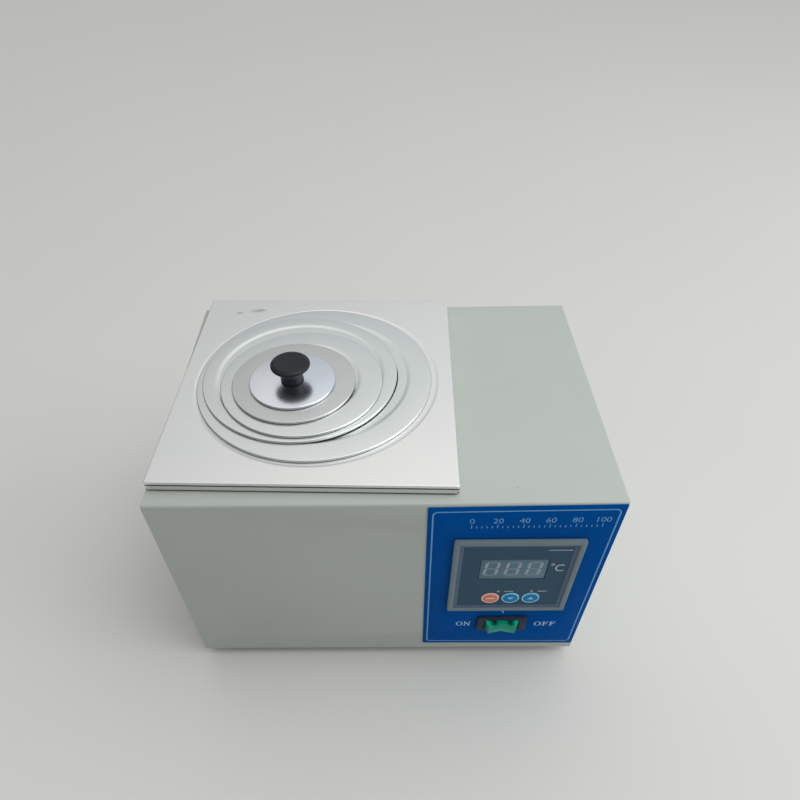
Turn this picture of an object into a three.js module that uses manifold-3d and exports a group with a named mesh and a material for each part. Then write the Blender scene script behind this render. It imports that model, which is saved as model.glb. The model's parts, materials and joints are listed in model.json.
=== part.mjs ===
import * as THREE from "three";
import { mergeVertices } from "three/addons/utils/BufferGeometryUtils.js";
import Module from "manifold-3d";

// A single-hole laboratory water bath with concentric lid rings and a panel temperature controller.
// Millimetres. +X is to the right, +Y to the rear, +Z up. The origin is under the middle, on the table.

// Shared clearances and counts
const gap = 0.3; // left between pieces that touch or fit
const skinGap = 0.1; // left behind a sheet that is stuck on
const overrun = 1; // how far a cut runs past what it cuts
const ringSteps = 40;
const roundSteps = 20;
const smallSteps = 12;
const cornerSteps = 4;
const hexSides = 6;

// Case
const caseSheet = 1;
const caseBend = 1.6;
const footRise = 8; // the case's underside above the table
const baseFlange = 30; // in-turned edges under the front and the rear
const panelFlange = 6; // in-turned edges of the side panels
const baseInset = 0.5; // base plate short of the case's ends
const bayRoom = 18.1; // controller's housing to the case's right side
const titleRoom = 29.1; // controller's bezel to the case's top

// Feet and their screws
const footTopRadius = 9.5;
const footBottomRadius = 8;
const footInsetX = 24;
const footInsetY = 18;
const footBoreRadius = 4.4;
const footBoreDepth = 4.4;
const footScrewRadius = 1.6;
const footScrewHeadRadius = 3.6;
const footScrewHead = 2;
const footNutRadius = 3.5;
const footNutHeight = 2.4;
const footScrewEnd = 1.5; // thread past the nut

// Lid plate
const plateLeftInset = 3;
const plateFrontInset = 8.4;
const plateRearInset = 0.8;
const plateTurn = -1.7; // degrees, as it lies on the case
const plateRise = 6.6; // plate's top above the case's top
const plateFoot = 0.4; // skirt's lower edge above the case's top
const plateSheet = 0.8;
const plateCorner = 0.9;
const plateSlit = 0.7; // open corner of the folded skirt
const recessDepth = 0.3;
const recessSlope = 1.9;
const recessPlay = 0.1; // round the first ring
const recessLap = 1.2; // flat beyond the recess that belongs to its pressing
const plateLap = 6; // first ring's rim to the plate's hole
const plateSideMargin = 11.4; // first ring's rim to the plate's side edges
const plateEndMargin = 15; // first ring's rim to the plate's front and rear edges

// Rings and centre lid
const ringSheet = 0.7;
const rimHeight = 1.3;
const rimBend = 0.7;
const rimBendShare = 0.3; // of the bend, for the point in its middle
const stepDepth = 0.5;
const stepWidth = 2;
const lidRadius = 25.3;
const ring1Band = 12.1; // each ring's rim to the rim of what lies on it, in radius
const ring2Band = 10.4;
const ring3Band = 11.6;
const ring4Band = 11;
const ring1Play = 4.9; // each ring's step inside what it drops into
const ring2Play = 2;
const ring3Play = 11.2;
const ring4Play = 13.1;
const ring1Ledge = 5.4; // foot of each ring's step to its hole
const ring2Ledge = 8.9;
const ring3Ledge = 4.5;
const ring4Ledge = 3.5;
const ring1Aside = -1.2; // each ring off the middle of what it lies on
const ring1Back = 0.35;
const ring2Aside = -8.55;
const ring2Back = 0.4;
const ring3Aside = 2;
const ring3Back = -7.7;
const ring4Aside = -4.3;
const ring4Back = -2.6;
const lidAside = -0.5;
const lidBack = -1;

// Knob and its screw
const knobRadius = 11.4;
const knobFootRadius = 6.8;
const knobNeckRadius = 6.5;
const knobThroatRadius = 7;
const knobFootHeight = 1.2; // from the lid up, each part of the knob above the last
const knobNeckHeight = 3.4;
const knobThroatHeight = 2.7;
const knobCheekHeight = 1.5;
const knobLowerRim = 1;
const knobRimHeight = 1.3;
const knobShoulderHeight = 1;
const knobCrownHeight = 0.3;
const knobDish = 0.5;
const knobCheekShare = 0.74; // of the knob's radius, at each height of its head
const knobRimLowShare = 0.95;
const knobShoulderShare = 0.93;
const knobCrownShare = 0.8;
const knobScrewRadius = 2;
const knobScrewHeadRadius = 5;
const knobScrewHead = 0.9;
const knobScrewDepth = 8;

// Tank, insulation and shelf
const tankSheet = 0.8;
const tankSideMargin = 0.4; // from the plate's pressed recess to the tank's inside
const tankEndMargin = 7.5; // from the plate's front and rear edges to the tank's inside
const tankDepth = 112;
const tankCorner = 14;
const flangePlay = 0.3; // tank flange inside the plate's skirt
const collarPlay = 0.8; // tank inside the case's collar
const insulationWall = 5;
const insulationTop = 14; // below the tank's flange
const insulationWindowHeight = 26;
const insulationWindowMargin = 14; // past the outer heater nut
const shelfMargin = 4.5;
const shelfSheet = 1.2;
const shelfHeight = 28;
const shelfCorner = 10;
const shelfHoles = 5; // along each side
const shelfHoleRadius = 5.5;
const shelfHolePitch = 25;
const shelfHoleSides = 8;

// Heater and sensor, on one level above the tank's floor
const heaterHeight = 14;
const heaterRadius = 4;
const heaterSpread = 48;
const heaterBehindHousing = 18.4; // front leg behind the controller's housing
const heaterFarMargin = 24; // bend's outside to the tank's left wall
const heaterSides = 8;
const heaterBendSteps = 8;
const heaterCollarRadius = 8.5;
const heaterCollar = 2;
const heaterSleeveRadius = 5.5;
const heaterSleeve = 10;
const heaterNutRadius = 9;
const heaterNut = 5;
const heaterCeramicRadius = 4.2;
const heaterCeramic = 4;
const heaterStudRadius = 1.8;
const heaterStud = 6;
const sensorRadius = 2.5;
const sensorReach = 52;
const sensorCollarRadius = 6;
const sensorSleeveRadius = 4;
const sensorSleeve = 8;
const sensorNutRadius = 7;
const sensorNut = 4;
const sensorTail = 14;

// Label
const labelSheet = 0.4;
const labelBesideBezel = 14.5; // label's left edge to the bezel
const labelRightInset = 0.8;
const labelBottomInset = 7.9;
const labelTopInset = 1.7;
const labelCorner = 1;

// Controller: a panel instrument with a square front
const bezelRise = 10.25; // bezel above the switch's flange
const bezelWidth = 72;
const bezelHeight = 72;
const bezelLip = 1;
const bezelBorder = 2.6;
const bezelPocket = 1; // how far the face reaches behind the lip
const bezelCorner = 1.2;
const bezelLap = 3; // bezel's reach over the hole for the housing
const housingDepth = 52;
const housingWall = 2;
const housingGap = 0.95; // to the tank's insulation
const faceSheet = 0.9;
const displayWidth = 38;
const displayHeight = 19.2;
const displayRise = 7.8; // above the controller's middle
const displayAside = -0.5; // to the right of it
const displaySheet = 0.7;
const moduleInset = 0.6;
const boardSheet = 1.6;
const boardInset = 1.5;
const switchBlock = 6;
const switchBlockDepth = 3.1;
const buttonRadius = 5.4;
const buttonEdge = 5.35; // buttons above the bezel's lower border
const buttonAside = 1.75; // middle button to the right of the controller's middle
const buttonProud = 0.4;
const buttonFlange = 0.9;
const buttonFlangeLip = 0.55;
const buttonStemRadius = 1.6;
const buttonTravel = 0.6;
const lampRadius = 1;
const lampAside = -6.4; // first lamp to the right of the controller's middle
const lampPitch = 20;
const lampWeb = 0.4; // between a lamp's hole and a button's below it
const lampLength = 2.5;
const terminalWidth = 50;
const terminalHeight = 12;
const terminalDepth = 10;
const terminalWays = 7;
const terminalGroove = 4;
const terminalGrooveDepth = 5;
const clipWidth = 12;
const clipLength = 22;
const clipSheet = 1.5;
const clipUpstand = 8;

// Rocker switch
const switchHeight = 36.4; // its middle above the case's underside
const switchAside = 0.1; // to the right of the controller's middle
const switchFlange = 1.8;
const switchEndLap = 2.2; // flange past the body, at its ends and along its sides
const switchSideLap = 0.95;
const switchCorner = 1.5;
const switchEndWall = 2.4; // body round the rocker's well
const switchSideWall = 1.4;
const switchBodyDepth = 22;
const switchWellDepth = 13;
const rockerTall = 9.6;
const rockerRadius = 10.8; // of its round ends, about the pin
const rockerProud = 3.6; // its ends in front of the flange when it stands level
const rockerDip = 1.7; // its middle behind its ends
const rockerBack = 5;
const rockerPinRadius = 1;
const pinBehind = 0.6; // pin behind the case's front face
const arcSteps = 6;
const tabWidth = 6.3;
const tabSheet = 0.8;
const tabLength = 9;
const tabSpread = 14;

// Rear: mains inlet, fuse holder and earth stud
const inletInset = 38; // from the case's right side
const inletHeight = 30; // above the case's underside
const inletEndLap = 2; // flange past the body, at its ends and along its sides
const inletSideLap = 1.8;
const inletFlange = 2;
const inletCorner = 3;
const socketWall = 1.7;
const socketFloor = 3;
const socketWidth = 23.6;
const socketTall = 16;
const socketDepth = 17;
const socketBevel = 4;
const pinWidth = 4;
const pinSheet = 2;
const pinLength = 12;
const pinTail = 6;
const pinSpread = 14;
const pinOffset = 2;
const fuseRise = 34; // above the inlet
const fuseBodyRadius = 6.4;
const fuseBodyDepth = 26;
const fuseFlangeRadius = 8.6;
const fuseFlange = 1.6;
const fuseCapRadius = 5.8;
const fuseCap = 6.4;
const fuseSlotWidth = 1.2;
const fuseSlotDepth = 1.2;
const earthAside = 30; // left of the inlet
const earthRadius = 2;
const earthHeadRadius = 4.4;
const earthHead = 3;
const earthDepth = 12;

// Leads inside the case
const leadRadius = 1;
const leadSides = 6;
const leadSteps = 16;
const leadRun = 8; // straight out of each terminal
const heaterFrontSlack = [6, 1, 0]; // how far the middle of each lead hangs off the straight line
const heaterRearSlack = [0, 6, 0];
const sensorSlack = [6, 0, 0];
const mainsSlack = [0, 0, -12];
const earthSlack = [0, -8, 8];

// Colours, roughness and metalness
const paint = { color: 0xb4bab2, roughness: 0.55, metalness: 0.0 };
const plateMetal = { color: 0xd2d2d0, roughness: 0.38, metalness: 0.9 };
const ringMetal = { color: 0xc6cac8, roughness: 0.32, metalness: 0.9 };
const darkRingMetal = { color: 0xa6aaa8, roughness: 0.3, metalness: 0.9 };
const steel = { color: 0xb8bcc0, roughness: 0.35, metalness: 1.0 };
const blackPlastic = { color: 0x26292d, roughness: 0.4, metalness: 0.0 };
const rubber = { color: 0x1c1c1c, roughness: 0.9, metalness: 0.0 };
const labelBlue = { color: 0x063a78, roughness: 0.45, metalness: 0.0 };
const bezelGrey = { color: 0x6b7069, roughness: 0.5, metalness: 0.0 };
const faceSlate = { color: 0x2a3a4d, roughness: 0.3, metalness: 0.0 };
const smokedLens = { color: 0x344a5c, roughness: 0.15, metalness: 0.0 };
const buttonRed = { color: 0xd7704f, roughness: 0.45, metalness: 0.0 };
const buttonBlue = { color: 0x1c69a6, roughness: 0.45, metalness: 0.0 };
const lampPale = { color: 0x93a0a8, roughness: 0.3, metalness: 0.0 };
const rockerGreen = { color: 0x1a9a5e, roughness: 0.2, metalness: 0.0 };
const boardGreen = { color: 0x1d5a36, roughness: 0.5, metalness: 0.0 };
const brass = { color: 0xb89048, roughness: 0.35, metalness: 1.0 };
const wool = { color: 0xd8cf9c, roughness: 1.0, metalness: 0.0 };
const leadRed = { color: 0xa42a22, roughness: 0.6, metalness: 0.0 };
const leadBlue = { color: 0x234f94, roughness: 0.6, metalness: 0.0 };
const leadWhite = { color: 0xd9d9d2, roughness: 0.6, metalness: 0.0 };
const leadEarth = { color: 0x7f9a2c, roughness: 0.6, metalness: 0.0 };

// Sizes that follow from the ones above
const knobHeadFoot = knobFootHeight + knobNeckHeight + knobThroatHeight;
const knobHeadHeight = knobCheekHeight + knobLowerRim + knobRimHeight + knobShoulderHeight + knobCrownHeight;
const knobHeight = knobHeadFoot + knobHeadHeight;
const ring4Radius = lidRadius + ring4Band;
const ring3Radius = ring4Radius + ring3Band;
const ring2Radius = ring3Radius + ring2Band;
const ring1Radius = ring2Radius + ring1Band;
const plateWidth = 2 * (ring1Radius + plateSideMargin);
const plateDepth = 2 * (ring1Radius + plateEndMargin);
const plateSkirt = plateRise - plateFoot;
const plateTurned = THREE.MathUtils.degToRad(plateTurn);
const plateTurnReach = (Math.max(plateWidth, plateDepth) / 2) * Math.sin(Math.abs(plateTurned));
const ring1Offset = Math.hypot(ring1Aside, ring1Back);
const recessRadius = ring1Radius + ring1Offset + recessPlay;
const tankWidth = 2 * (recessRadius + recessSlope + tankSideMargin);
const tankLength = plateDepth - 2 * tankEndMargin;
const tankWall = tankWidth / 2 + tankSheet; // from the tank's middle to its outside
const switchBodyWidth = 2 * (rockerRadius + gap + switchEndWall);
const switchBodyTall = rockerTall + 2 * (gap + switchSideWall);
const switchWidth = switchBodyWidth + 2 * switchEndLap;
const switchTall = switchBodyTall + 2 * switchSideLap;
const bezelProud = bezelLip + faceSheet + 2 * gap; // in front of the label
const lampRise = buttonRadius + lampRadius + 2 * gap + lampWeb; // above the buttons
const housingWidth = bezelWidth - 2 * bezelLap;
const housingHeight = bezelHeight - 2 * bezelLap;
const controllerHeight = switchHeight + (switchTall + bezelHeight) / 2 + bezelRise;
const buttonPitch = 2 * (buttonRadius + buttonFlangeLip) + gap;
const inletBodyWidth = socketWidth + 2 * socketWall;
const inletBodyTall = socketTall + 2 * socketWall;
const inletBodyDepth = socketDepth + socketFloor;
const inletWidth = inletBodyWidth + 2 * inletEndLap;
const inletTall = inletBodyTall + 2 * inletSideLap;
const insulationReach = tankWall + gap + insulationWall; // from the tank's middle to the insulation's outside
const tankSide = plateLeftInset + plateWidth / 2 + insulationReach;
const caseWidth = tankSide + housingGap + housingWidth + bayRoom;
const caseDepth = plateFrontInset + plateDepth + plateRearInset;
const caseHeight = controllerHeight + bezelHeight / 2 + titleRoom;

// Main planes and middles
const caseBottom = footRise;
const caseTop = caseBottom + caseHeight;
const frontFace = -caseDepth / 2;
const rearFace = caseDepth / 2;
const leftFace = -caseWidth / 2;
const rightFace = caseWidth / 2;
const plateX = leftFace + plateLeftInset + plateWidth / 2;
const plateY = frontFace + plateFrontInset + plateDepth / 2;
const plateTop = caseTop + plateRise;
const flangeTop = plateTop - plateSheet - gap;
const tankFloor = flangeTop - tankDepth;
const collarWidth = tankWidth + 2 * (tankSheet + collarPlay);
const collarLength = tankLength + 2 * (tankSheet + collarPlay);
const collarRadius = tankCorner + tankSheet + collarPlay;
const collarTop = flangeTop - tankSheet - gap;
const insulationRight = plateX + insulationReach;
const controllerX = insulationRight + housingGap + housingWidth / 2;
const labelLeft = controllerX - bezelWidth / 2 - labelBesideBezel;
const labelRight = rightFace - labelRightInset;
const labelFront = frontFace - skinGap - labelSheet;
const controllerZ = caseBottom + controllerHeight;
const switchX = controllerX + switchAside;
const switchZ = caseBottom + switchHeight;
const inletX = rightFace - inletInset;
const inletZ = caseBottom + inletHeight;
const basePlateLow = caseBottom + caseSheet + gap;
const basePlateHigh = basePlateLow + caseSheet;
const heaterY = labelFront + gap + housingDepth + heaterBehindHousing + heaterSpread / 2;

const wasm = await Module();
wasm.setup();

// Solids

function solidFromTriangles(positions, triangles) {
  return new wasm.Manifold(new wasm.Mesh({ numProp: 3, vertProperties: positions, triVerts: triangles }));
}

// Merges a closed geometry's shared points, drops triangles of no width, and turns its faces outwards.
function toSolid(geometry) {
  const bare = geometry.clone();
  bare.deleteAttribute("normal");
  bare.deleteAttribute("uv");
  const merged = mergeVertices(bare);
  const corners = Array.from(merged.index.array);
  const kept = [];
  for (let i = 0; i < corners.length; i += 3) {
    const [a, b, c] = corners.slice(i, i + 3);
    if (a !== b && b !== c && c !== a) kept.push(a, b, c);
  }
  const positions = merged.attributes.position.array;
  const solid = solidFromTriangles(positions, new Uint32Array(kept));
  if (solid.volume() > 0) return solid;
  return solidFromTriangles(positions, new Uint32Array(kept.reverse()));
}

function toGeometry(solid) {
  const { vertProperties, triVerts } = solid.getMesh();
  const indexed = new THREE.BufferGeometry();
  indexed.setAttribute("position", new THREE.BufferAttribute(vertProperties, 3));
  indexed.setIndex(new THREE.BufferAttribute(triVerts, 1));
  const geometry = indexed.toNonIndexed();
  geometry.computeVertexNormals();
  return geometry;
}

function join(...solids) {
  return solids.reduce((whole, solid) => whole.add(solid));
}

function cut(solid, ...tools) {
  return tools.reduce((rest, tool) => rest.subtract(tool), solid);
}

// Outlines

function circleOutline(radius, steps, x = 0, y = 0) {
  const points = [];
  for (let i = 0; i < steps; i += 1) {
    const turn = (2 * Math.PI * i) / steps;
    points.push(new THREE.Vector2(x + radius * Math.cos(turn), y + radius * Math.sin(turn)));
  }
  return new THREE.Shape(points);
}

function squareOutline(width, height, x = 0, y = 0) {
  return roundedOutline(width, height, 0, x, y, 0);
}

function roundedOutline(width, height, radius, x = 0, y = 0, steps = cornerSteps) {
  const points = [];
  const corners = [
    [1, 1],
    [-1, 1],
    [-1, -1],
    [1, -1],
  ];
  corners.forEach(([sideX, sideY], corner) => {
    for (let i = 0; i <= steps; i += 1) {
      const turn = (Math.PI / 2) * (corner + (steps ? i / steps : 0));
      const cornerX = sideX * (width / 2 - radius) + radius * Math.cos(turn);
      const cornerY = sideY * (height / 2 - radius) + radius * Math.sin(turn);
      points.push(new THREE.Vector2(x + cornerX, y + cornerY));
    }
  });
  return new THREE.Shape(points);
}

function pointOutline(points) {
  return new THREE.Shape(points.map(([x, y]) => new THREE.Vector2(x, y)));
}

// Extrusions: an outline in Y and Z runs along X, one in X and Z along Y, one in X and Y along Z

const axisX = new THREE.Vector3(1, 0, 0);
const axisY = new THREE.Vector3(0, 1, 0);
const axisZ = new THREE.Vector3(0, 0, 1);

function extrude(outline, length) {
  return new THREE.ExtrudeGeometry(outline, { depth: length, bevelEnabled: false });
}

function alongX(outline, from, to) {
  const turned = extrude(outline, to - from).applyMatrix4(new THREE.Matrix4().makeBasis(axisY, axisZ, axisX));
  return toSolid(turned.translate(from, 0, 0));
}

function alongY(outline, from, to) {
  return toSolid(extrude(outline, to - from).rotateX(Math.PI / 2).translate(0, to, 0));
}

function alongZ(outline, from, to) {
  return toSolid(extrude(outline, to - from).translate(0, 0, from));
}

function block(fromX, toX, fromY, toY, fromZ, toZ) {
  const box = new THREE.BoxGeometry(toX - fromX, toY - fromY, toZ - fromZ);
  return toSolid(box.translate((fromX + toX) / 2, (fromY + toY) / 2, (fromZ + toZ) / 2));
}

// Turned pieces, from a profile of [radius, height] points about Z, or laid along X or Y

function turnedGeometry(profile, steps) {
  const points = [...profile, profile[0]].map(([radius, height]) => new THREE.Vector2(radius, height));
  return new THREE.LatheGeometry(points, steps).rotateX(Math.PI / 2);
}

function turned(profile, steps) {
  return toSolid(turnedGeometry(profile, steps));
}

function turnedAlongX(profile, steps) {
  return toSolid(turnedGeometry(profile, steps).rotateY(Math.PI / 2));
}

function turnedAlongY(profile, steps) {
  return toSolid(turnedGeometry(profile, steps).rotateX(-Math.PI / 2));
}

function hexagon(radius, bore) {
  const outline = circleOutline(radius, hexSides);
  outline.holes.push(circleOutline(bore, smallSteps));
  return outline;
}

// Scene helpers

function piece(name, solid, look, x = 0, y = 0, z = 0) {
  const mesh = new THREE.Mesh(toGeometry(solid), new THREE.MeshStandardMaterial(look));
  mesh.name = name;
  mesh.position.set(x, y, z);
  return mesh;
}

function groupAt(x, y, z, ...children) {
  const group = new THREE.Group();
  group.position.set(x, y, z);
  group.add(...children);
  return group;
}

// Case

const footPlaces = [
  [-1, -1],
  [1, -1],
  [-1, 1],
  [1, 1],
].map(([sideX, sideY]) => [sideX * (rightFace - footInsetX), sideY * (rearFace - footInsetY)]);

function footHoles(from, to) {
  const outlines = footPlaces.map(([x, y]) => circleOutline(footScrewRadius + gap, smallSteps, x, y));
  return outlines.map((outline) => alongZ(outline, from, to));
}

function caseShell() {
  const middleZ = (caseBottom + caseTop) / 2;
  const inner = caseBend - caseSheet;
  const outside = alongX(roundedOutline(caseDepth, caseHeight, caseBend, 0, middleZ), leftFace, rightFace);
  const insideOutline = roundedOutline(caseDepth - 2 * caseSheet, caseHeight - 2 * caseSheet, inner, 0, middleZ);
  const inside = alongX(insideOutline, leftFace - overrun, rightFace + overrun);
  const openBase = block(
    leftFace - overrun,
    rightFace + overrun,
    frontFace + baseFlange,
    rearFace - baseFlange,
    caseBottom - overrun,
    caseBottom + caseSheet + overrun,
  );
  const collarOutline = roundedOutline(
    collarWidth + 2 * caseSheet,
    collarLength + 2 * caseSheet,
    collarRadius + caseSheet,
    plateX,
    plateY,
  );
  const opening = roundedOutline(collarWidth, collarLength, collarRadius, plateX, plateY);
  const shell = cut(outside, inside, openBase).add(alongZ(collarOutline, caseTop - caseSheet, collarTop));
  return cut(
    shell,
    alongZ(opening, caseTop - caseSheet - overrun, collarTop + overrun),
    frontCut(housingWidth, housingHeight, controllerX, controllerZ),
    frontCut(switchBodyWidth, switchBodyTall, switchX, switchZ),
    rearCut(roundedOutline(inletBodyWidth + 2 * gap, inletBodyTall + 2 * gap, inletCorner, inletX, inletZ)),
    rearCut(circleOutline(fuseBodyRadius + gap, roundSteps, inletX, inletZ + fuseRise)),
    rearCut(circleOutline(earthRadius + gap, smallSteps, inletX - earthAside, inletZ)),
    ...footHoles(caseBottom - overrun, caseBottom + caseSheet + overrun),
  );
}

// A square hole through the case's front and the label
function frontCut(width, height, x, z) {
  const outline = squareOutline(width + 2 * gap, height + 2 * gap, x, z);
  return alongY(outline, labelFront - overrun, frontFace + caseSheet + overrun);
}

function rearCut(outline) {
  return alongY(outline, rearFace - caseSheet - overrun, rearFace + overrun);
}

const panelLow = basePlateHigh + gap;
const panelHigh = caseTop - caseSheet - gap;
const panelDepth = caseDepth - 2 * (caseSheet + gap);
const panelBend = caseBend - caseSheet - gap;

// A side panel as a tray, its face at x = 0 and its edges turned towards +X
function sidePanel() {
  const middleZ = (panelLow + panelHigh) / 2;
  const height = panelHigh - panelLow;
  const outer = alongX(roundedOutline(panelDepth, height, panelBend, 0, middleZ), 0, panelFlange);
  const innerOutline = squareOutline(panelDepth - 2 * caseSheet, height - 2 * caseSheet, 0, middleZ);
  return cut(outer, alongX(innerOutline, caseSheet, panelFlange + overrun));
}

function basePlate() {
  const halfX = caseWidth / 2 - baseInset;
  const halfY = caseDepth / 2 - caseBend;
  const plate = block(-halfX, halfX, -halfY, halfY, basePlateLow, basePlateHigh);
  return cut(plate, ...footHoles(basePlateLow - overrun, basePlateHigh + overrun));
}

function caseParts() {
  const rightPanel = piece("side_panel_right", sidePanel(), paint, rightFace);
  rightPanel.rotation.z = Math.PI;
  return [
    piece("case_shell", caseShell(), paint),
    piece("side_panel_left", sidePanel(), paint, leftFace),
    rightPanel,
    piece("base_plate", basePlate(), paint),
  ];
}

// Feet

const footHeight = caseBottom - gap;

function foot() {
  const bore = footScrewRadius + gap;
  return turned(
    [
      [footBoreRadius, 0],
      [footBottomRadius, 0],
      [footTopRadius, footHeight],
      [bore, footHeight],
      [bore, footBoreDepth],
      [footBoreRadius, footBoreDepth],
    ],
    roundSteps,
  );
}

// The screw comes up through the foot, the case and the base plate, with its nut on it
function footScrew() {
  const seat = footBoreDepth - gap;
  const nutLow = basePlateHigh + gap;
  const nutHigh = nutLow + footNutHeight;
  return turned(
    [
      [0, seat - footScrewHead],
      [footScrewHeadRadius, seat - footScrewHead],
      [footScrewHeadRadius, seat],
      [footScrewRadius, seat],
      [footScrewRadius, nutLow],
      [footNutRadius, nutLow],
      [footNutRadius, nutHigh],
      [footScrewRadius, nutHigh],
      [footScrewRadius, nutHigh + footScrewEnd],
      [0, nutHigh + footScrewEnd],
    ],
    smallSteps,
  );
}

function feet() {
  return footPlaces.flatMap(([x, y], i) => [
    piece(`foot_${i + 1}`, foot(), rubber, x, y),
    piece(`foot_screw_${i + 1}`, footScrew(), steel, x, y),
  ]);
}

// Lid plate, rings and centre lid. The plate's own group has z = 0 at its top.

const plateHoleRadius = ring1Radius - plateLap;

function lidPlate() {
  const outline = roundedOutline(plateWidth, plateDepth, plateCorner);
  const inside = roundedOutline(plateWidth - 2 * plateSheet, plateDepth - 2 * plateSheet, plateCorner - plateSheet);
  const recessTop = recessRadius + recessSlope;
  const tray = cut(
    alongZ(outline, -plateSkirt, 0),
    alongZ(inside, -plateSkirt - overrun, -plateSheet),
    alongZ(circleOutline(recessTop + recessLap / 2, ringSteps), -plateSkirt, overrun),
    ...cornerSlits(),
  );
  const pressed = turned(
    [
      [plateHoleRadius, -recessDepth],
      [recessRadius, -recessDepth],
      [recessTop, 0],
      [recessTop + recessLap, 0],
      [recessTop + recessLap, -plateSheet],
      [recessTop, -plateSheet],
      [recessRadius, -recessDepth - plateSheet],
      [plateHoleRadius, -recessDepth - plateSheet],
    ],
    ringSteps,
  );
  return join(tray, pressed);
}

// The folded skirt stays open by a slit down each corner
function cornerSlits() {
  const slits = [];
  for (const sideX of [-1, 1]) {
    for (const sideY of [-1, 1]) {
      const x = (sideX * plateWidth) / 2;
      const y = (sideY * plateDepth) / 2;
      const slit = roundedOutline(2 * plateSlit, 2 * plateCorner, plateSlit / 2, x, y - sideY * plateSlit);
      slits.push(alongZ(slit, -plateSkirt - overrun, -plateSheet));
    }
  }
  return slits;
}

// What every rim has: an edge turned down, with a rounded bend, from z = 0 up to the rim's height
function rimOutside(radius) {
  const middle = rimBend * rimBendShare;
  return [
    [radius - ringSheet, 0],
    [radius, 0],
    [radius, rimHeight - rimBend],
    [radius - middle, rimHeight - middle],
    [radius - rimBend, rimHeight],
  ];
}

function ring(radius, stepTop, hole) {
  const ledge = rimHeight - stepDepth;
  const stepFoot = stepTop - stepWidth;
  return turned(
    [
      ...rimOutside(radius),
      [stepTop, rimHeight],
      [stepFoot, ledge],
      [hole, ledge],
      [hole, ledge - ringSheet],
      [stepFoot, ledge - ringSheet],
      [stepTop, rimHeight - ringSheet],
      [radius - ringSheet, rimHeight - ringSheet],
    ],
    ringSteps,
  );
}

function centreLid(radius) {
  const bore = knobScrewRadius + gap;
  return turned(
    [
      ...rimOutside(radius),
      [bore, rimHeight],
      [bore, rimHeight - ringSheet],
      [radius - ringSheet, rimHeight - ringSheet],
    ],
    ringSteps,
  );
}

function knob() {
  const bore = knobScrewRadius + gap;
  const boreTop = knobScrewDepth + gap;
  const cheek = knobHeadFoot + knobCheekHeight;
  const rimLow = cheek + knobLowerRim;
  const rimHigh = rimLow + knobRimHeight;
  return turned(
    [
      [bore, 0],
      [knobFootRadius, 0],
      [knobNeckRadius, knobFootHeight],
      [knobNeckRadius, knobFootHeight + knobNeckHeight],
      [knobThroatRadius, knobHeadFoot],
      [knobRadius * knobCheekShare, cheek],
      [knobRadius * knobRimLowShare, rimLow],
      [knobRadius, (rimLow + rimHigh) / 2],
      [knobRadius, rimHigh],
      [knobRadius * knobShoulderShare, rimHigh + knobShoulderHeight],
      [knobRadius * knobCrownShare, knobHeight],
      [0, knobHeight - knobDish],
      [0, boreTop],
      [bore, boreTop],
    ],
    roundSteps + cornerSteps,
  );
}

// z = 0 is where the head meets the lid's underside
function knobScrew() {
  return turned(
    [
      [0, -knobScrewHead],
      [knobScrewHeadRadius, -knobScrewHead],
      [knobScrewHeadRadius, 0],
      [knobScrewRadius, 0],
      [knobScrewRadius, gap + ringSheet + gap + knobScrewDepth],
      [0, gap + ringSheet + gap + knobScrewDepth],
    ],
    smallSteps,
  );
}

// A ring's step nests in the slope of the ring below, which takes it in by this much
const nesting = (stepWidth * (rimHeight + gap - ringSheet)) / stepDepth;
const ring2Offset = Math.hypot(ring2Aside, ring2Back);
const ring3Offset = Math.hypot(ring3Aside, ring3Back);
const ring4Offset = Math.hypot(ring4Aside, ring4Back);
const ring1Step = plateHoleRadius - ring1Offset - ringSheet - ring1Play;
const ring2Step = ring1Step - ring2Offset + nesting - ring2Play;
const ring3Step = ring2Step - ring3Offset + nesting - ring3Play;
const ring4Step = ring3Step - ring4Offset + nesting - ring4Play;

function lidStack() {
  const rise = rimHeight + gap;
  const lidParts = groupAt(
    lidAside,
    lidBack,
    rise,
    piece("centre_lid", centreLid(lidRadius), ringMetal),
    piece("knob", knob(), blackPlastic, 0, 0, rimHeight + gap),
    piece("knob_screw", knobScrew(), steel, 0, 0, rimHeight - ringSheet - gap),
  );
  const ring4 = piece("ring_4", ring(ring4Radius, ring4Step, ring4Step - stepWidth - ring4Ledge), darkRingMetal);
  const ring4Parts = groupAt(ring4Aside, ring4Back, rise, ring4, lidParts);
  const ring3 = piece("ring_3", ring(ring3Radius, ring3Step, ring3Step - stepWidth - ring3Ledge), ringMetal);
  const ring3Parts = groupAt(ring3Aside, ring3Back, rise, ring3, ring4Parts);
  const ring2 = piece("ring_2", ring(ring2Radius, ring2Step, ring2Step - stepWidth - ring2Ledge), ringMetal);
  const ring2Parts = groupAt(ring2Aside, ring2Back, rise, ring2, ring3Parts);
  const ring1 = piece("ring_1", ring(ring1Radius, ring1Step, ring1Step - stepWidth - ring1Ledge), ringMetal);
  const ring1Parts = groupAt(ring1Aside, ring1Back, gap - recessDepth, ring1, ring2Parts);
  const lid = groupAt(plateX, plateY, plateTop, piece("lid_plate", lidPlate(), plateMetal), ring1Parts);
  lid.rotation.z = plateTurned;
  return lid;
}

// Tank, insulation, shelf, heater and sensor. Their group stands on the tank's middle, at its floor.

const sideWall = tankWidth / 2; // the tank's right wall, inside
const outerWall = sideWall + tankSheet;
const rimAbove = flangeTop - tankFloor;
const heaterBack = heaterY - plateY;
const heaterFront = heaterBack - heaterSpread / 2;
const heaterRear = heaterBack + heaterSpread / 2;

function boreThroughWall(radius, y) {
  return alongX(circleOutline(radius, smallSteps, y, heaterHeight), sideWall - overrun, outerWall + overrun);
}

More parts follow.
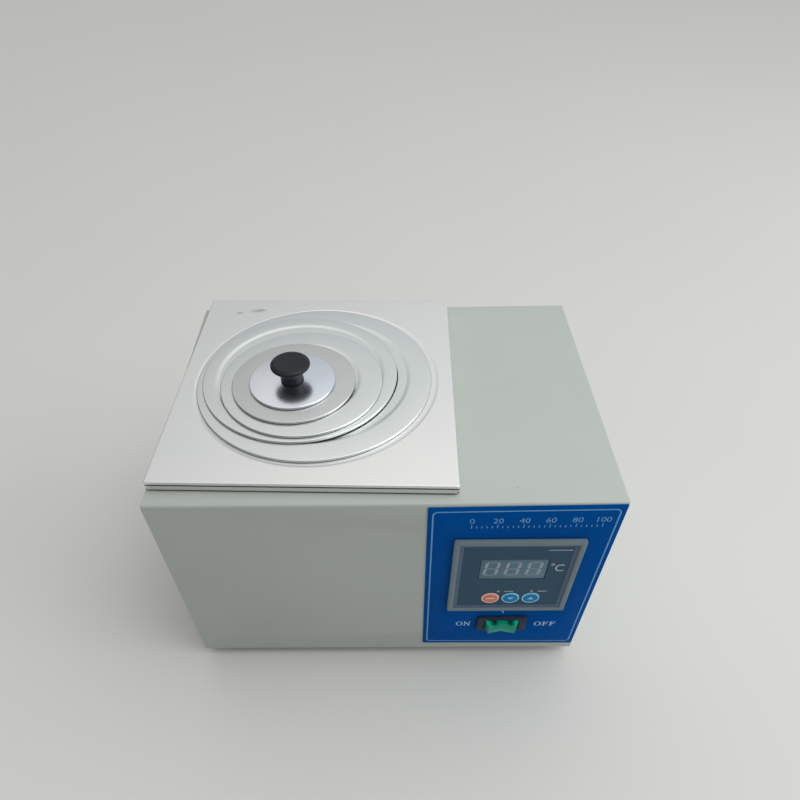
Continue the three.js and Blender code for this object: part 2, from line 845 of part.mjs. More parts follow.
function tank() {
  const skirtInside = 2 * (plateSheet + flangePlay + plateTurnReach);
  const flangeOutline = roundedOutline(plateWidth - skirtInside, plateDepth - skirtInside, plateCorner + tankSheet);
  const outer = roundedOutline(tankWidth + 2 * tankSheet, tankLength + 2 * tankSheet, tankCorner + tankSheet);
  const body = join(
    alongZ(outer, -tankSheet, rimAbove),
    alongZ(flangeOutline, rimAbove - tankSheet, rimAbove),
  );
  return cut(
    body,
    alongZ(roundedOutline(tankWidth, tankLength, tankCorner), 0, rimAbove + overrun),
    boreThroughWall(heaterSleeveRadius + gap, heaterFront),
    boreThroughWall(heaterSleeveRadius + gap, heaterRear),
    boreThroughWall(sensorSleeveRadius + gap, heaterBack),
  );
}

function insulation() {
  const wall = tankSheet + gap;
  const thick = wall + insulationWall;
  const top = rimAbove - insulationTop;
  const outer = roundedOutline(tankWidth + 2 * thick, tankLength + 2 * thick, tankCorner + thick);
  const inner = roundedOutline(tankWidth + 2 * wall, tankLength + 2 * wall, tankCorner + wall);
  const window = block(
    sideWall,
    sideWall + thick + overrun,
    heaterFront - insulationWindowMargin,
    heaterRear + insulationWindowMargin,
    heaterHeight - insulationWindowHeight / 2,
    heaterHeight + insulationWindowHeight / 2,
  );
  return cut(alongZ(outer, -thick, top), alongZ(inner, -wall, top + overrun), window);
}

function shelf() {
  const width = tankWidth - 2 * shelfMargin;
  const length = tankLength - 2 * shelfMargin;
  const outline = roundedOutline(width, length, shelfCorner);
  const holeReach = ((shelfHoles - 1) * shelfHolePitch) / 2;
  for (let i = 0; i < shelfHoles; i += 1) {
    for (let j = 0; j < shelfHoles; j += 1) {
      const x = i * shelfHolePitch - holeReach;
      const y = j * shelfHolePitch - holeReach;
      outline.holes.push(circleOutline(shelfHoleRadius, shelfHoleSides, x, y));
    }
  }
  const legHalf = width / 2 - shelfCorner;
  const edge = length / 2;
  return join(
    alongZ(outline, shelfHeight - shelfSheet, shelfHeight),
    block(-legHalf, legHalf, -edge, shelfSheet - edge, gap, shelfHeight),
    block(-legHalf, legHalf, edge - shelfSheet, edge, gap, shelfHeight),
  );
}

// The heater's hairpin in its own plane: a leg out to the left, a half circle, and a leg back
class Hairpin extends THREE.Curve {
  constructor(start, end, spread) {
    super();
    this.start = start;
    this.end = end;
    this.radius = spread / 2;
  }

  getPoint(share, target = new THREE.Vector3()) {
    const leg = this.start - this.end;
    const bend = Math.PI * this.radius;
    const run = share * (2 * leg + bend);
    if (run <= leg) return target.set(this.start - run, -this.radius, 0);
    if (run >= leg + bend) return target.set(this.end + run - leg - bend, this.radius, 0);
    const turn = (run - leg) / this.radius;
    return target.set(this.end - this.radius * Math.sin(turn), -this.radius * Math.cos(turn), 0);
  }
}

// A stepped fitting along X, from [radius, length] pairs
function steppedRod(start, lengths, steps) {
  let x = start;
  const profile = [[0, start]];
  for (const [radius, length] of lengths) {
    profile.push([radius, x], [radius, x + length]);
    x += length;
  }
  profile.push([0, x]);
  return turnedAlongX(profile, steps);
}

function heaterTube() {
  const seat = sideWall - gap; // the collar's face, inside the wall
  const bendX = heaterFarMargin + heaterRadius + heaterSpread / 2 - sideWall;
  const path = new Hairpin(seat, bendX, heaterSpread);
  const bendShare = (Math.PI * heaterSpread) / 2 / path.getLength();
  const tube = new THREE.ExtrudeGeometry(circleOutline(heaterRadius, heaterSides), {
    steps: Math.round(heaterBendSteps / bendShare),
    extrudePath: path,
  });
  const fitting = steppedRod(
    seat - heaterCollar,
    [
      [heaterCollarRadius, heaterCollar],
      [heaterSleeveRadius, gap + tankSheet + heaterSleeve],
      [heaterCeramicRadius, heaterCeramic],
      [heaterStudRadius, heaterStud],
    ],
    smallSteps,
  );
  const half = heaterSpread / 2;
  return join(toSolid(tube), fitting.translate([0, -half, 0]), fitting.translate([0, half, 0]));
}

function sensorProbe() {
  return steppedRod(
    sideWall - sensorReach,
    [
      [sensorRadius, sensorReach - gap - heaterCollar],
      [sensorCollarRadius, heaterCollar],
      [sensorSleeveRadius, gap + tankSheet + sensorSleeve],
      [sensorRadius, sensorTail],
    ],
    smallSteps,
  );
}

function wallNut(radius, bore, length) {
  const from = outerWall + gap;
  return alongX(hexagon(radius, bore), from, from + length);
}

function tankParts() {
  const heaterNutSolid = wallNut(heaterNutRadius, heaterSleeveRadius + gap, heaterNut);
  const sensorNutSolid = wallNut(sensorNutRadius, sensorSleeveRadius + gap, sensorNut);
  return groupAt(
    plateX,
    plateY,
    tankFloor,
    piece("tank", tank(), steel),
    piece("insulation", insulation(), wool),
    piece("shelf", shelf(), steel),
    piece("heater_tube", heaterTube(), steel, 0, heaterBack, heaterHeight),
    piece("heater_nut_front", heaterNutSolid, brass, 0, heaterFront, heaterHeight),
    piece("heater_nut_rear", heaterNutSolid, brass, 0, heaterRear, heaterHeight),
    piece("sensor_probe", sensorProbe(), steel, 0, heaterBack, heaterHeight),
    piece("sensor_nut", sensorNutSolid, brass, 0, heaterBack, heaterHeight),
  );
}

// Label

function panelLabel() {
  const low = caseBottom + labelBottomInset;
  const high = caseTop - labelTopInset;
  const middleX = (labelLeft + labelRight) / 2;
  const outline = roundedOutline(labelRight - labelLeft, high - low, labelCorner, middleX, (low + high) / 2);
  return cut(
    alongY(outline, labelFront, frontFace - skinGap),
    frontCut(housingWidth, housingHeight, controllerX, controllerZ),
    frontCut(switchBodyWidth, switchBodyTall, switchX, switchZ),
  );
}

// Controller. Its group stands on the label's front, at the middle of its face, and +Y goes in.

const lipBack = bezelLip - bezelProud;
const faceFront = lipBack + gap;
const faceBack = faceFront + faceSheet;
const openingWidth = bezelWidth - 2 * bezelBorder;
const openingHeight = bezelHeight - 2 * bezelBorder;
const housingFront = gap;
const housingBack = housingFront + housingDepth;
const buttonFlangeBack = faceBack + gap + buttonFlange;
const stemEnd = buttonFlangeBack + buttonFlange;
const blockFront = stemEnd + buttonTravel + gap;
const boardFront = blockFront + switchBlockDepth;
const buttonDrop = openingHeight / 2 - buttonEdge - buttonRadius; // below the controller's middle
const buttonNames = ["button_set", "button_down", "button_up"];
const buttonLooks = [buttonRed, buttonBlue, buttonBlue];
const buttonPlaces = buttonNames.map((name, i) => buttonAside + (i - 1) * buttonPitch);
const lampPlaces = [lampAside, lampAside + lampPitch];

function bezel() {
  const pocketWidth = openingWidth + 2 * (bezelPocket + gap);
  const pocketHeight = openingHeight + 2 * (bezelPocket + gap);
  return cut(
    alongY(roundedOutline(bezelWidth, bezelHeight, bezelCorner), -bezelProud, -gap),
    alongY(squareOutline(openingWidth, openingHeight), -bezelProud - overrun, overrun),
    alongY(squareOutline(pocketWidth, pocketHeight), lipBack, overrun),
  );
}

function controllerFace() {
  const width = openingWidth + 2 * bezelPocket;
  const height = openingHeight + 2 * bezelPocket;
  const outline = squareOutline(width, height);
  const window = squareOutline(displayWidth + 2 * gap, displayHeight + 2 * gap, displayAside, displayRise);
  outline.holes.push(window);
  for (const x of buttonPlaces) {
    outline.holes.push(circleOutline(buttonRadius + gap, roundSteps, x, -buttonDrop));
  }
  for (const x of lampPlaces) {
    outline.holes.push(circleOutline(lampRadius + gap, smallSteps, x, lampRise - buttonDrop));
  }
  return alongY(outline, faceFront, faceBack);
}

function displayWindow() {
  const outline = squareOutline(displayWidth, displayHeight, displayAside, displayRise);
  return alongY(outline, faceBack - displaySheet, faceBack);
}

function displayModule() {
  const width = displayWidth - 2 * moduleInset;
  const height = displayHeight - 2 * moduleInset;
  return alongY(squareOutline(width, height, displayAside, displayRise), faceBack + gap, boardFront - gap);
}

function housing() {
  const outer = squareOutline(housingWidth, housingHeight);
  const inner = squareOutline(housingWidth - 2 * housingWall, housingHeight - 2 * housingWall);
  return cut(
    alongY(outer, housingFront, housingBack),
    alongY(inner, housingFront - overrun, housingBack - housingWall),
  );
}

function circuitBoard() {
  const inset = 2 * (housingWall + boardInset);
  const board = squareOutline(housingWidth - inset, housingHeight - inset);
  const blocks = buttonPlaces.map((x) => {
    const outline = squareOutline(switchBlock, switchBlock, x, -buttonDrop);
    return alongY(outline, blockFront, boardFront + boardSheet / 2);
  });
  return join(alongY(board, boardFront, boardFront + boardSheet), ...blocks);
}

// z = 0 of the turned profile is the button's front. It goes in along +Y.
function button() {
  const front = faceFront - buttonProud;
  const cap = faceBack + gap - front;
  const flange = cap + buttonFlange;
  const end = stemEnd - front;
  const profile = [
    [0, 0],
    [buttonRadius, 0],
    [buttonRadius, cap],
    [buttonRadius + buttonFlangeLip, cap],
    [buttonRadius + buttonFlangeLip, flange],
    [buttonStemRadius, flange],
    [buttonStemRadius, end],
    [0, end],
  ];
  return turnedAlongY(profile, roundSteps).translate([0, front, 0]);
}

function lampLens() {
  const outline = circleOutline(lampRadius, smallSteps);
  return alongY(outline, faceFront, faceFront + lampLength);
}

function wayX(i) {
  return (i - (terminalWays - 1) / 2) * (terminalWidth / terminalWays);
}

function terminalBlock() {
  const from = housingBack + gap;
  const outline = squareOutline(terminalWidth, terminalHeight);
  const grooves = [];
  for (let i = 0; i < terminalWays; i += 1) {
    const x = wayX(i);
    const back = from + terminalDepth;
    const half = terminalGroove / 2;
    grooves.push(block(x - half, x + half, back - terminalGrooveDepth, back + overrun, -half, terminalHeight));
  }
  return cut(alongY(outline, from, from + terminalDepth), ...grooves);
}

// A clip lies on the housing and bears on the inside of the case's front. It is drawn for the upper side.
function clip() {
  const low = housingHeight / 2 + gap;
  const seat = frontFace + caseSheet + gap - labelFront;
  const half = clipWidth / 2;
  return join(
    block(-half, half, seat, seat + clipLength, low, low + clipSheet),
    block(-half, half, seat, seat + clipSheet, low, low + clipUpstand),
  );
}

function controllerParts() {
  const lowerClip = piece("clip_lower", clip(), steel);
  lowerClip.rotation.y = Math.PI;
  const lamps = ["indicator_output", "indicator_alarm"];
  return groupAt(
    controllerX,
    labelFront,
    controllerZ,
    piece("controller_bezel", bezel(), bezelGrey),
    piece("controller_face", controllerFace(), faceSlate),
    piece("display_window", displayWindow(), smokedLens),
    piece("display_module", displayModule(), blackPlastic),
    piece("controller_housing", housing(), blackPlastic),
    piece("circuit_board", circuitBoard(), boardGreen),
    piece("terminal_block", terminalBlock(), blackPlastic),
    piece("clip_upper", clip(), steel),
    lowerClip,
    ...buttonNames.map((name, i) => piece(name, button(), buttonLooks[i], buttonPlaces[i], 0, -buttonDrop)),
    ...lamps.map((name, i) => piece(name, lampLens(), lampPale, lampPlaces[i], 0, lampRise - buttonDrop)),
  );
}

// Rocker switch. Its group stands on the pin, which is upright, and +Y goes in.

const flangeFront = labelFront - gap - switchFlange;
const pinY = frontFace + pinBehind;
const rockerHalf = rockerRadius + gap; // of the well that the rocker's round ends turn in
const rockerReach = pinY - flangeFront + rockerProud; // from the pin to its front ends
const rockerTurn = Math.asin(rockerReach / rockerRadius);

function switchFrame() {
  const front = flangeFront - pinY;
  const back = front + switchFlange;
  const end = frontFace + switchBodyDepth - pinY;
  const wellTall = rockerTall + 2 * gap;
  return cut(
    join(
      alongY(roundedOutline(switchWidth, switchTall, switchCorner), front, back),
      alongY(squareOutline(switchBodyWidth, switchBodyTall), back - switchFlange / 2, end),
    ),
    block(-rockerHalf, rockerHalf, front - overrun, switchWellDepth, -wellTall / 2, wellTall / 2),
    alongZ(circleOutline(rockerPinRadius + gap, smallSteps), -switchTall, switchTall),
  );
}

// The rocker seen from above: two round ends about the pin, a dipped front and a flat back
function rocker() {
  const points = [];
  const backTurn = Math.asin(rockerBack / rockerRadius);
  for (const side of [1, -1]) {
    for (let i = 0; i <= arcSteps; i += 1) {
      const share = side > 0 ? i / arcSteps : 1 - i / arcSteps;
      const turn = THREE.MathUtils.lerp(-rockerTurn, backTurn, share);
      points.push([side * rockerRadius * Math.cos(turn), rockerRadius * Math.sin(turn)]);
    }
  }
  points.push([0, rockerDip - rockerReach]);
  const body = alongZ(pointOutline(points), -rockerTall / 2, rockerTall / 2);
  const bore = circleOutline(rockerPinRadius + gap, smallSteps);
  return cut(body, alongZ(bore, -rockerTall, rockerTall));
}

function rockerPin() {
  return alongZ(circleOutline(rockerPinRadius, smallSteps), -switchBodyTall / 2, switchBodyTall / 2);
}

function switchParts() {
  const rockerPiece = piece("rocker", rocker(), rockerGreen);
  const tabFrom = frontFace + switchBodyDepth + gap - pinY;
  const tab = block(-tabSheet / 2, tabSheet / 2, tabFrom, tabFrom + tabLength, -tabWidth / 2, tabWidth / 2);
  return groupAt(
    switchX,
    pinY,
    switchZ,
    piece("switch_frame", switchFrame(), blackPlastic),
    rockerPiece,
    piece("rocker_pin", rockerPin(), steel),
    piece("switch_terminal_1", tab, brass, -tabSpread / 2),
    piece("switch_terminal_2", tab, brass, tabSpread / 2),
  );
}

// Rear: its group stands on the rear face, at the inlet's middle, and +Y goes out.

function socketOutline() {
  const half = socketWidth / 2;
  const top = socketTall / 2;
  return pointOutline([
    [half, -top],
    [half, top - socketBevel],
    [half - socketBevel, top],
    [socketBevel - half, top],
    [-half, top - socketBevel],
    [-half, -top],
  ]);
}

function inletBody() {
  const front = gap + inletFlange;
  const pins = inletPinPlaces.map(([x, z]) => {
    const hole = squareOutline(pinSheet + 2 * gap, pinWidth + 2 * gap, x, z);
    return alongY(hole, front - inletBodyDepth - inletFlange, front);
  });
  return cut(
    join(
      alongY(roundedOutline(inletWidth, inletTall, inletCorner), gap, front),
      alongY(roundedOutline(inletBodyWidth, inletBodyTall, inletCorner), gap - inletBodyDepth, front),
    ),
    alongY(socketOutline(), front - socketDepth, front + overrun),
    ...pins,
  );
}

const inletPinPlaces = [
  [-pinSpread / 2, -pinOffset],
  [pinSpread / 2, -pinOffset],
  [0, pinOffset],
];

function inletPin() {
  const seat = gap + inletFlange - socketDepth;
  const outline = squareOutline(pinSheet, pinWidth);
  return alongY(outline, seat - (inletBodyDepth - socketDepth) - pinTail, seat + pinLength);
}

function fuseHolder() {
  const flangeOut = gap + fuseFlange;
  const end = flangeOut + fuseCap;
  const body = turnedAlongY(
    [
      [0, -fuseBodyDepth],
      [fuseBodyRadius, -fuseBodyDepth],
      [fuseBodyRadius, gap],
      [fuseFlangeRadius, gap],
      [fuseFlangeRadius, flangeOut],
      [fuseCapRadius, flangeOut],
      [fuseCapRadius, end],
      [0, end],
    ],
    roundSteps,
  );
  const half = fuseSlotWidth / 2;
  const slot = block(-fuseCapRadius, fuseCapRadius, end - fuseSlotDepth, end + overrun, -half, half);
  return cut(body, slot);
}

function earthStud() {
  return turnedAlongY(
    [
      [0, -earthDepth],
      [earthRadius, -earthDepth],
      [earthRadius, gap],
      [earthHeadRadius, gap],
      [earthHeadRadius, gap + earthHead],
      [0, gap + earthHead],
    ],
    smallSteps,
  );
}

function rearParts() {
  const pinNames = ["inlet_pin_live", "inlet_pin_neutral", "inlet_pin_earth"];
  return groupAt(
    inletX,
    rearFace,
    inletZ,
    piece("inlet_body", inletBody(), blackPlastic),
    ...pinNames.map((name, i) => piece(name, inletPin(), brass, inletPinPlaces[i][0], 0, inletPinPlaces[i][1])),
    piece("fuse_holder", fuseHolder(), blackPlastic, 0, 0, fuseRise),
    piece("earth_stud", earthStud(), brass, -earthAside),
  );
}

// Leads, each from one terminal to another, straight out of both

function lead(name, look, from, fromWay, to, toWay, slack) {
  const start = new THREE.Vector3(...from);
  const end = new THREE.Vector3(...to);
  const startRun = fromWay.clone().multiplyScalar(leadRun).add(start);
  const endRun = toWay.clone().multiplyScalar(leadRun).add(end);
  const middle = startRun.clone().add(endRun).divideScalar(2).add(new THREE.Vector3(...slack));
  const path = new THREE.CatmullRomCurve3([start, startRun, middle, endRun, end]);
  const outline = circleOutline(leadRadius, leadSides);
  const shape = new THREE.ExtrudeGeometry(outline, { steps: leadSteps, extrudePath: path });
  return piece(name, toSolid(shape), look);
}

function leads() {
  const fittingZ = tankFloor + heaterHeight;
  const studX = plateX + outerWall + heaterSleeve + heaterCeramic + heaterStud + gap;
  const tailX = plateX + outerWall + sensorSleeve + sensorTail + gap;
  const wayY = labelFront + housingBack + terminalDepth - terminalGrooveDepth + 2 * gap;
  const ways = [0, 1, 2].map((i) => [controllerX + wayX(i), wayY, controllerZ]);
  const frontStud = [studX, heaterY - heaterSpread / 2, fittingZ];
  const rearStud = [studX, heaterY + heaterSpread / 2, fittingZ];
  const tail = [tailX, heaterY, fittingZ];
  const pinEnd = rearFace + inletFlange - inletBodyDepth - pinTail;
  const [livePin, , earthPin] = inletPinPlaces.map(([x, z]) => [inletX + x, pinEnd, inletZ + z]);
  const tabEnd = [switchX + tabSpread / 2, frontFace + switchBodyDepth + tabLength + 2 * gap, switchZ];
  const earthEnd = [inletX - earthAside, rearFace - earthDepth - gap, inletZ];
  const forward = axisY.clone().negate();
  return [
    lead("heater_lead_front", leadRed, frontStud, axisX, ways[0], axisY, heaterFrontSlack),
    lead("heater_lead_rear", leadBlue, rearStud, axisX, ways[1], axisY, heaterRearSlack),
    lead("sensor_lead", leadWhite, tail, axisX, ways[2], axisY, sensorSlack),
    lead("mains_lead", leadRed, livePin, forward, tabEnd, axisY, mainsSlack),
    lead("earth_lead", leadEarth, earthPin, forward, earthEnd, forward, earthSlack),
  ];
}

const model = new THREE.Group();
model.add(...caseParts(), ...feet(), lidStack(), tankParts());
model.add(piece("panel_label", panelLabel(), labelBlue), controllerParts(), switchParts(), rearParts(), ...leads());

// The origin lies under the middle of everything, so the model moves by half of what its two ends differ
const rockerFront = rockerRadius * Math.sin(rockerTurn) - pinBehind;
const bezelFront = frontFace - labelFront + bezelProud;
const rearReach = gap + fuseFlange + fuseCap;
model.position.y = (Math.max(bezelFront, rockerFront) - rearReach) / 2;

export default model;
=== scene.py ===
import json
import math

import bmesh
import bpy
from mathutils import Euler, Matrix, Vector


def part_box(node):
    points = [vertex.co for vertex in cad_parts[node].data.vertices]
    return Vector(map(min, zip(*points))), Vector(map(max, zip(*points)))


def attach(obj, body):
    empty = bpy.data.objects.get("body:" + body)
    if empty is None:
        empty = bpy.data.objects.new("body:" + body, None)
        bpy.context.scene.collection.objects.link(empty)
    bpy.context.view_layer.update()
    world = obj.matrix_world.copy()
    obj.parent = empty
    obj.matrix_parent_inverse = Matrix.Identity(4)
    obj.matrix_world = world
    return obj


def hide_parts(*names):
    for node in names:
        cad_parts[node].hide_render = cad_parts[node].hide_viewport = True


# A laboratory water bath with concentric lid rings and a blue control panel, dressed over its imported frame.
# Metres, in the frame's own axes: +X to the right, +Y to the rear, +Z up.

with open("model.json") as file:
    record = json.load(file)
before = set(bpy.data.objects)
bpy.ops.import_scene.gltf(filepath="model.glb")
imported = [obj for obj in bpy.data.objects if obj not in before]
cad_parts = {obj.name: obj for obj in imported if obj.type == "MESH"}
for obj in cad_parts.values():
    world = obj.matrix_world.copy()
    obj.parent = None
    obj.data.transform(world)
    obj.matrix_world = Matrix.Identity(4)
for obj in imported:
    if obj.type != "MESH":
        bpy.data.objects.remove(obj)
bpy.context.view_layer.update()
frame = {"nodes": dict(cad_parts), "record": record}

MM = 0.001
QUARTER = math.pi / 2

# Camera, as the photograph was taken
CAMERA_PLACE = (3.609 * MM, -293.787 * MM, 410.795 * MM)
CAMERA_TURN = (43.16582, 1.08453, 0.23214)
CAMERA_LENS = 28.2362
CAMERA_SHIFT = (0.025348, 0.078399)

# Sheet metal of the lid, in millimetres
SHEET = 0.7
STEP_DEPTH = 0.5
STEP_WIDTH = 2.0
STEP_ROUND = 6.0
RIM_ROUND = 0.6
RING_STEPS = 192
PLATE_TURN = -1.7
PLATE_SHEET = 0.8
PLATE_RECESS_DEPTH = 0.3
PLATE_SLOPE = 1.9
PLATE_FOLD = 0.5
PLATE_CORNER = 0.5
PLATE_NOTCH = 1.8
PLATE_EDGE = 1.6
PLATE_GROOVE = 1.0
PLATE_FOOT = 0.1
PLATE_HEM = 0.7
SMUDGES = (((-57.8, 71.2), (3.2, 2.6)), ((-45.8, 73.4), (8.0, 3.2)), ((-43.0, 74.2), (4.5, 2.0)))

# Knob, in millimetres: its outline is (radius, height, rounding)
KNOB_BORE = 2.3
KNOB_OUTLINE = (
    (KNOB_BORE, 0, 0), (6.8, 0, 0.3), (6.5, 1.2, 0.8), (6.5, 4.6, 2.4), (7.0, 7.3, 1.6), (8.6, 8.8, 1.4),
    (11.4, 9.9, 0.8), (11.4, 11.3, 0.9), (9.3, 12.4, 1.0), (6.2, 12.2, 3.0), (0, 11.95, 0), (0, 8.3, 0),
    (KNOB_BORE, 8.3, 0))

# Buttons, in millimetres: the pale rim starts at a radius, and ends at a depth behind the cap's front
CAP_RADIUS = 5.4
CAP_RIM = 4.55
CAP_FRONT = 1.2
ARROW = ((-1.9, -1.1), (1.9, -1.1), (0, 1.5))
SET_BAR = (5.6, 1.1, 0.5)

# Painted light on the lid and the rocker: soft painted highlights and painted shade, placed in millimetres from
# the piece's middle with their reach each way
LID_SHADE_ASIDE = 17
LID_LIT_REACH = (32, 40, 300)
LID_DIM_REACH = (30, 38, 300)
ROCKER_CORNER_ASIDE = 9.4
ROCKER_CORNER_REACH = (3.0, 5, 4.0)
ROCKER_POCKET_ASIDE = 5.0
ROCKER_POCKET_DROP = 0.4
ROCKER_POCKET_REACH = (3.4, 6, 2.6)
ROCKER_STRIP_REACH = (13, 9, 4.6)

# Prints on the label and on the controller's face: millimetres along X, and up from the table
PRINT = 0.03
LABEL_SHIFTS = ((1.0, 0.6), (0.4, -0.5), (0.5, 0.9), (-0.7, -0.5))
LINE_INSETS = (2.3, 2.3, 2.5, 3.3)
LINE_CORNER = 3.2
LINE_WIDTH = 0.85
ON_PLACE = (44.5, 39.5, 9.4, 4.9)
OFF_PLACE = (95.0, 39.2, 13.6, 4.9)
SCALE_LEFT = 46.6
SCALE_PITCH = 2.72
SCALE_TICKS = 26
SCALE_BASE = 143.6
SCALE_NUMBER = 4.2
SCALE_NUMBER_RISE = 4.2
LONG_TICK = 3.0
SHORT_TICK = 1.8
TICK_WIDTH = 0.5
NICK_PLACE = (73.6, 57.4)
DIGIT_STARTS = (56.0, 68.1, 80.3)
DIGIT_BASE = 99.6
DIGIT_HIGH = 14.2
DIGIT_WIDE = 8.4
DIGIT_LEAN = 0.10
BAR = 1.7
DEGREE_PLACE = (95.2, 110.9)
DEGREE_RADIUS = 1.0
LETTER_C_PLACE = (97.0, 104.3, 5.0, 7.0)
RULE_PLACE = (90.4, 124.5, 13.4, 0.55)
CAPTION_GAP = 2.4
CAPTION_SIZE = (5.6, 0.6)
BEZEL_BORDER = 3.4
LIP_WIDTH = 2.3


def tone(red, green, blue):
    """A colour given as it looks, 0 to 255, as a shader takes it."""
    def linear(value):
        share = value / 255
        return share / 12.92 if share <= 0.04045 else ((share + 0.055) / 1.055) ** 2.4
    return (linear(red), linear(green), linear(blue), 1.0)


# Building node trees

def place(tree, kind, inputs=None, **settings):
    """Adds a node. Each input is given a value, or another node's output."""
    node = tree.nodes.new(kind)
    for key, value in settings.items():
        setattr(node, key, value)
    for key, value in (inputs or {}).items():
        if isinstance(value, bpy.types.NodeSocket):
            tree.links.new(value, node.inputs[key])
        else:
            node.inputs[key].default_value = value
    return node


def worked(tree, operation, first, second=0.0):
    """One sum of two values; its output."""
    return place(tree, "ShaderNodeMath", {0: first, 1: second}, operation=operation).outputs[0]


def new_group(name, kind, inputs, output, output_kind):
    """An empty node group with its named sockets, and its input and output nodes."""
    tree = bpy.data.node_groups.new(name, kind)
    for label, socket_kind, default in inputs:
        socket = tree.interface.new_socket(label, in_out="INPUT", socket_type=socket_kind)
        if default is not None:
            socket.default_value = default
    tree.interface.new_socket(output, in_out="OUTPUT", socket_type=output_kind)
    return tree, tree.nodes.new("NodeGroupInput"), tree.nodes.new("NodeGroupOutput")


def mask_group(name, inputs):
    """A shader group that puts out one mask over the surface."""
    floats = [(label, "NodeSocketFloat", default) for label, default in inputs]
    return new_group(name, "ShaderNodeTree", floats, "Mask", "NodeSocketFloat")


def object_place(tree):
    return place(tree, "ShaderNodeTexCoord").outputs["Object"]


def soft_clouds():
    """Broad, weak patches, as handling and uneven rolling leave them."""
    tree, given, result = mask_group("Soft Clouds", [("Scale", 12.0), ("Spread", 0.25)])
    noise = place(tree, "ShaderNodeTexNoise", {
        "Vector": object_place(tree), "Scale": given.outputs["Scale"], "Detail": 4.0, "Roughness": 0.55})
    low = worked(tree, "SUBTRACT", 0.5, given.outputs["Spread"])
    high = worked(tree, "ADD", 0.5, given.outputs["Spread"])
    spread = place(tree, "ShaderNodeMapRange", {
        "Value": noise.outputs["Fac"], "From Min": low, "From Max": high})
    tree.links.new(spread.outputs["Result"], result.inputs["Mask"])
    return tree


def fine_grain():
    """The small unevenness of sprayed paint or moulded plastic."""
    tree, given, result = mask_group("Fine Grain", [("Scale", 700.0), ("Detail", 2.0)])
    noise = place(tree, "ShaderNodeTexNoise", {
        "Vector": object_place(tree), "Scale": given.outputs["Scale"], "Detail": given.outputs["Detail"]})
    tree.links.new(noise.outputs["Fac"], result.inputs["Mask"])
    return tree


def brush_lines():
    """Long fine lines along X, as rolled and brushed sheet has."""
    tree, given, result = mask_group("Brush Lines", [("Scale", 900.0), ("Stretch", 0.03)])
    along = place(tree, "ShaderNodeCombineXYZ", {"X": given.outputs["Stretch"], "Y": 1.0, "Z": 1.0})
    drawn = place(tree, "ShaderNodeVectorMath", {
        0: object_place(tree), 1: along.outputs[0]}, operation="MULTIPLY")
    noise = place(tree, "ShaderNodeTexNoise", {
        "Vector": drawn.outputs[0], "Scale": given.outputs["Scale"], "Detail": 3.0})
    tree.links.new(noise.outputs["Fac"], result.inputs["Mask"])
    return tree


def stray_specks():
    """Separate small dots, such as dust in paint or chips."""
    tree, given, result = mask_group("Stray Specks", [("Scale", 90.0), ("Size", 0.12), ("Share", 0.1)])
    cells = place(tree, "ShaderNodeTexVoronoi", {"Vector": object_place(tree), "Scale": given.outputs["Scale"]})
    draw = place(tree, "ShaderNodeSeparateColor", {"Color": cells.outputs["Color"]})
    size = worked(tree, "MULTIPLY", given.outputs["Size"], draw.outputs["Green"])
    dot = worked(tree, "LESS_THAN", cells.outputs["Distance"], size)
    kept = worked(tree, "LESS_THAN", draw.outputs["Red"], given.outputs["Share"])
    tree.links.new(worked(tree, "MULTIPLY", dot, kept), result.inputs["Mask"])
    return tree


def soft_spot():
    """One soft-edged patch round a place on the piece."""
    tree, given, result = new_group("Soft Spot", "ShaderNodeTree", [
        ("Middle", "NodeSocketVector", None), ("Reach", "NodeSocketVector", None),
        ("Strength", "NodeSocketFloat", 1.0)], "Mask", "NodeSocketFloat")
    away = place(tree, "ShaderNodeVectorMath", {0: object_place(tree), 1: given.outputs["Middle"]},
                 operation="SUBTRACT")
    sized = place(tree, "ShaderNodeVectorMath", {
        0: away.outputs[0], 1: given.outputs["Reach"]}, operation="DIVIDE")
    far = place(tree, "ShaderNodeVectorMath", {0: sized.outputs[0]}, operation="LENGTH")
    near = place(tree, "ShaderNodeMapRange", {
        "Value": far.outputs["Value"], "From Min": 1.0, "From Max": 0.0}, interpolation_type="SMOOTHSTEP")
    weak = worked(tree, "MULTIPLY", near.outputs["Result"], given.outputs["Strength"])
    tree.links.new(weak, result.inputs["Mask"])
    return tree


CLOUDS = soft_clouds()
GRAIN = fine_grain()
LINES = brush_lines()
SPECKS = stray_specks()
SPOT = soft_spot()


def masked(tree, group, **values):
    """A shared effect placed in a material with its own values; its mask."""
    node = place(tree, "ShaderNodeGroup", node_tree=group)
    for label, value in values.items():
        node.inputs[label].default_value = value
    return node.outputs["Mask"]


def mixed(tree, share, first, second):
    """One colour turning into another where the mask says."""
    node = place(tree, "ShaderNodeMix", data_type="RGBA")
    for socket, value in ((node.inputs["Factor"], share), (node.inputs[6], first), (node.inputs[7], second)):
        if isinstance(value, bpy.types.NodeSocket):
            tree.links.new(value, socket)
        else:
            socket.default_value = value
    return node.outputs[2]


def scaled(tree, mask, low, high):
    node = place(tree, "ShaderNodeMapRange", {"Value": mask, "To Min": low, "To Max": high})
    return node.outputs["Result"]


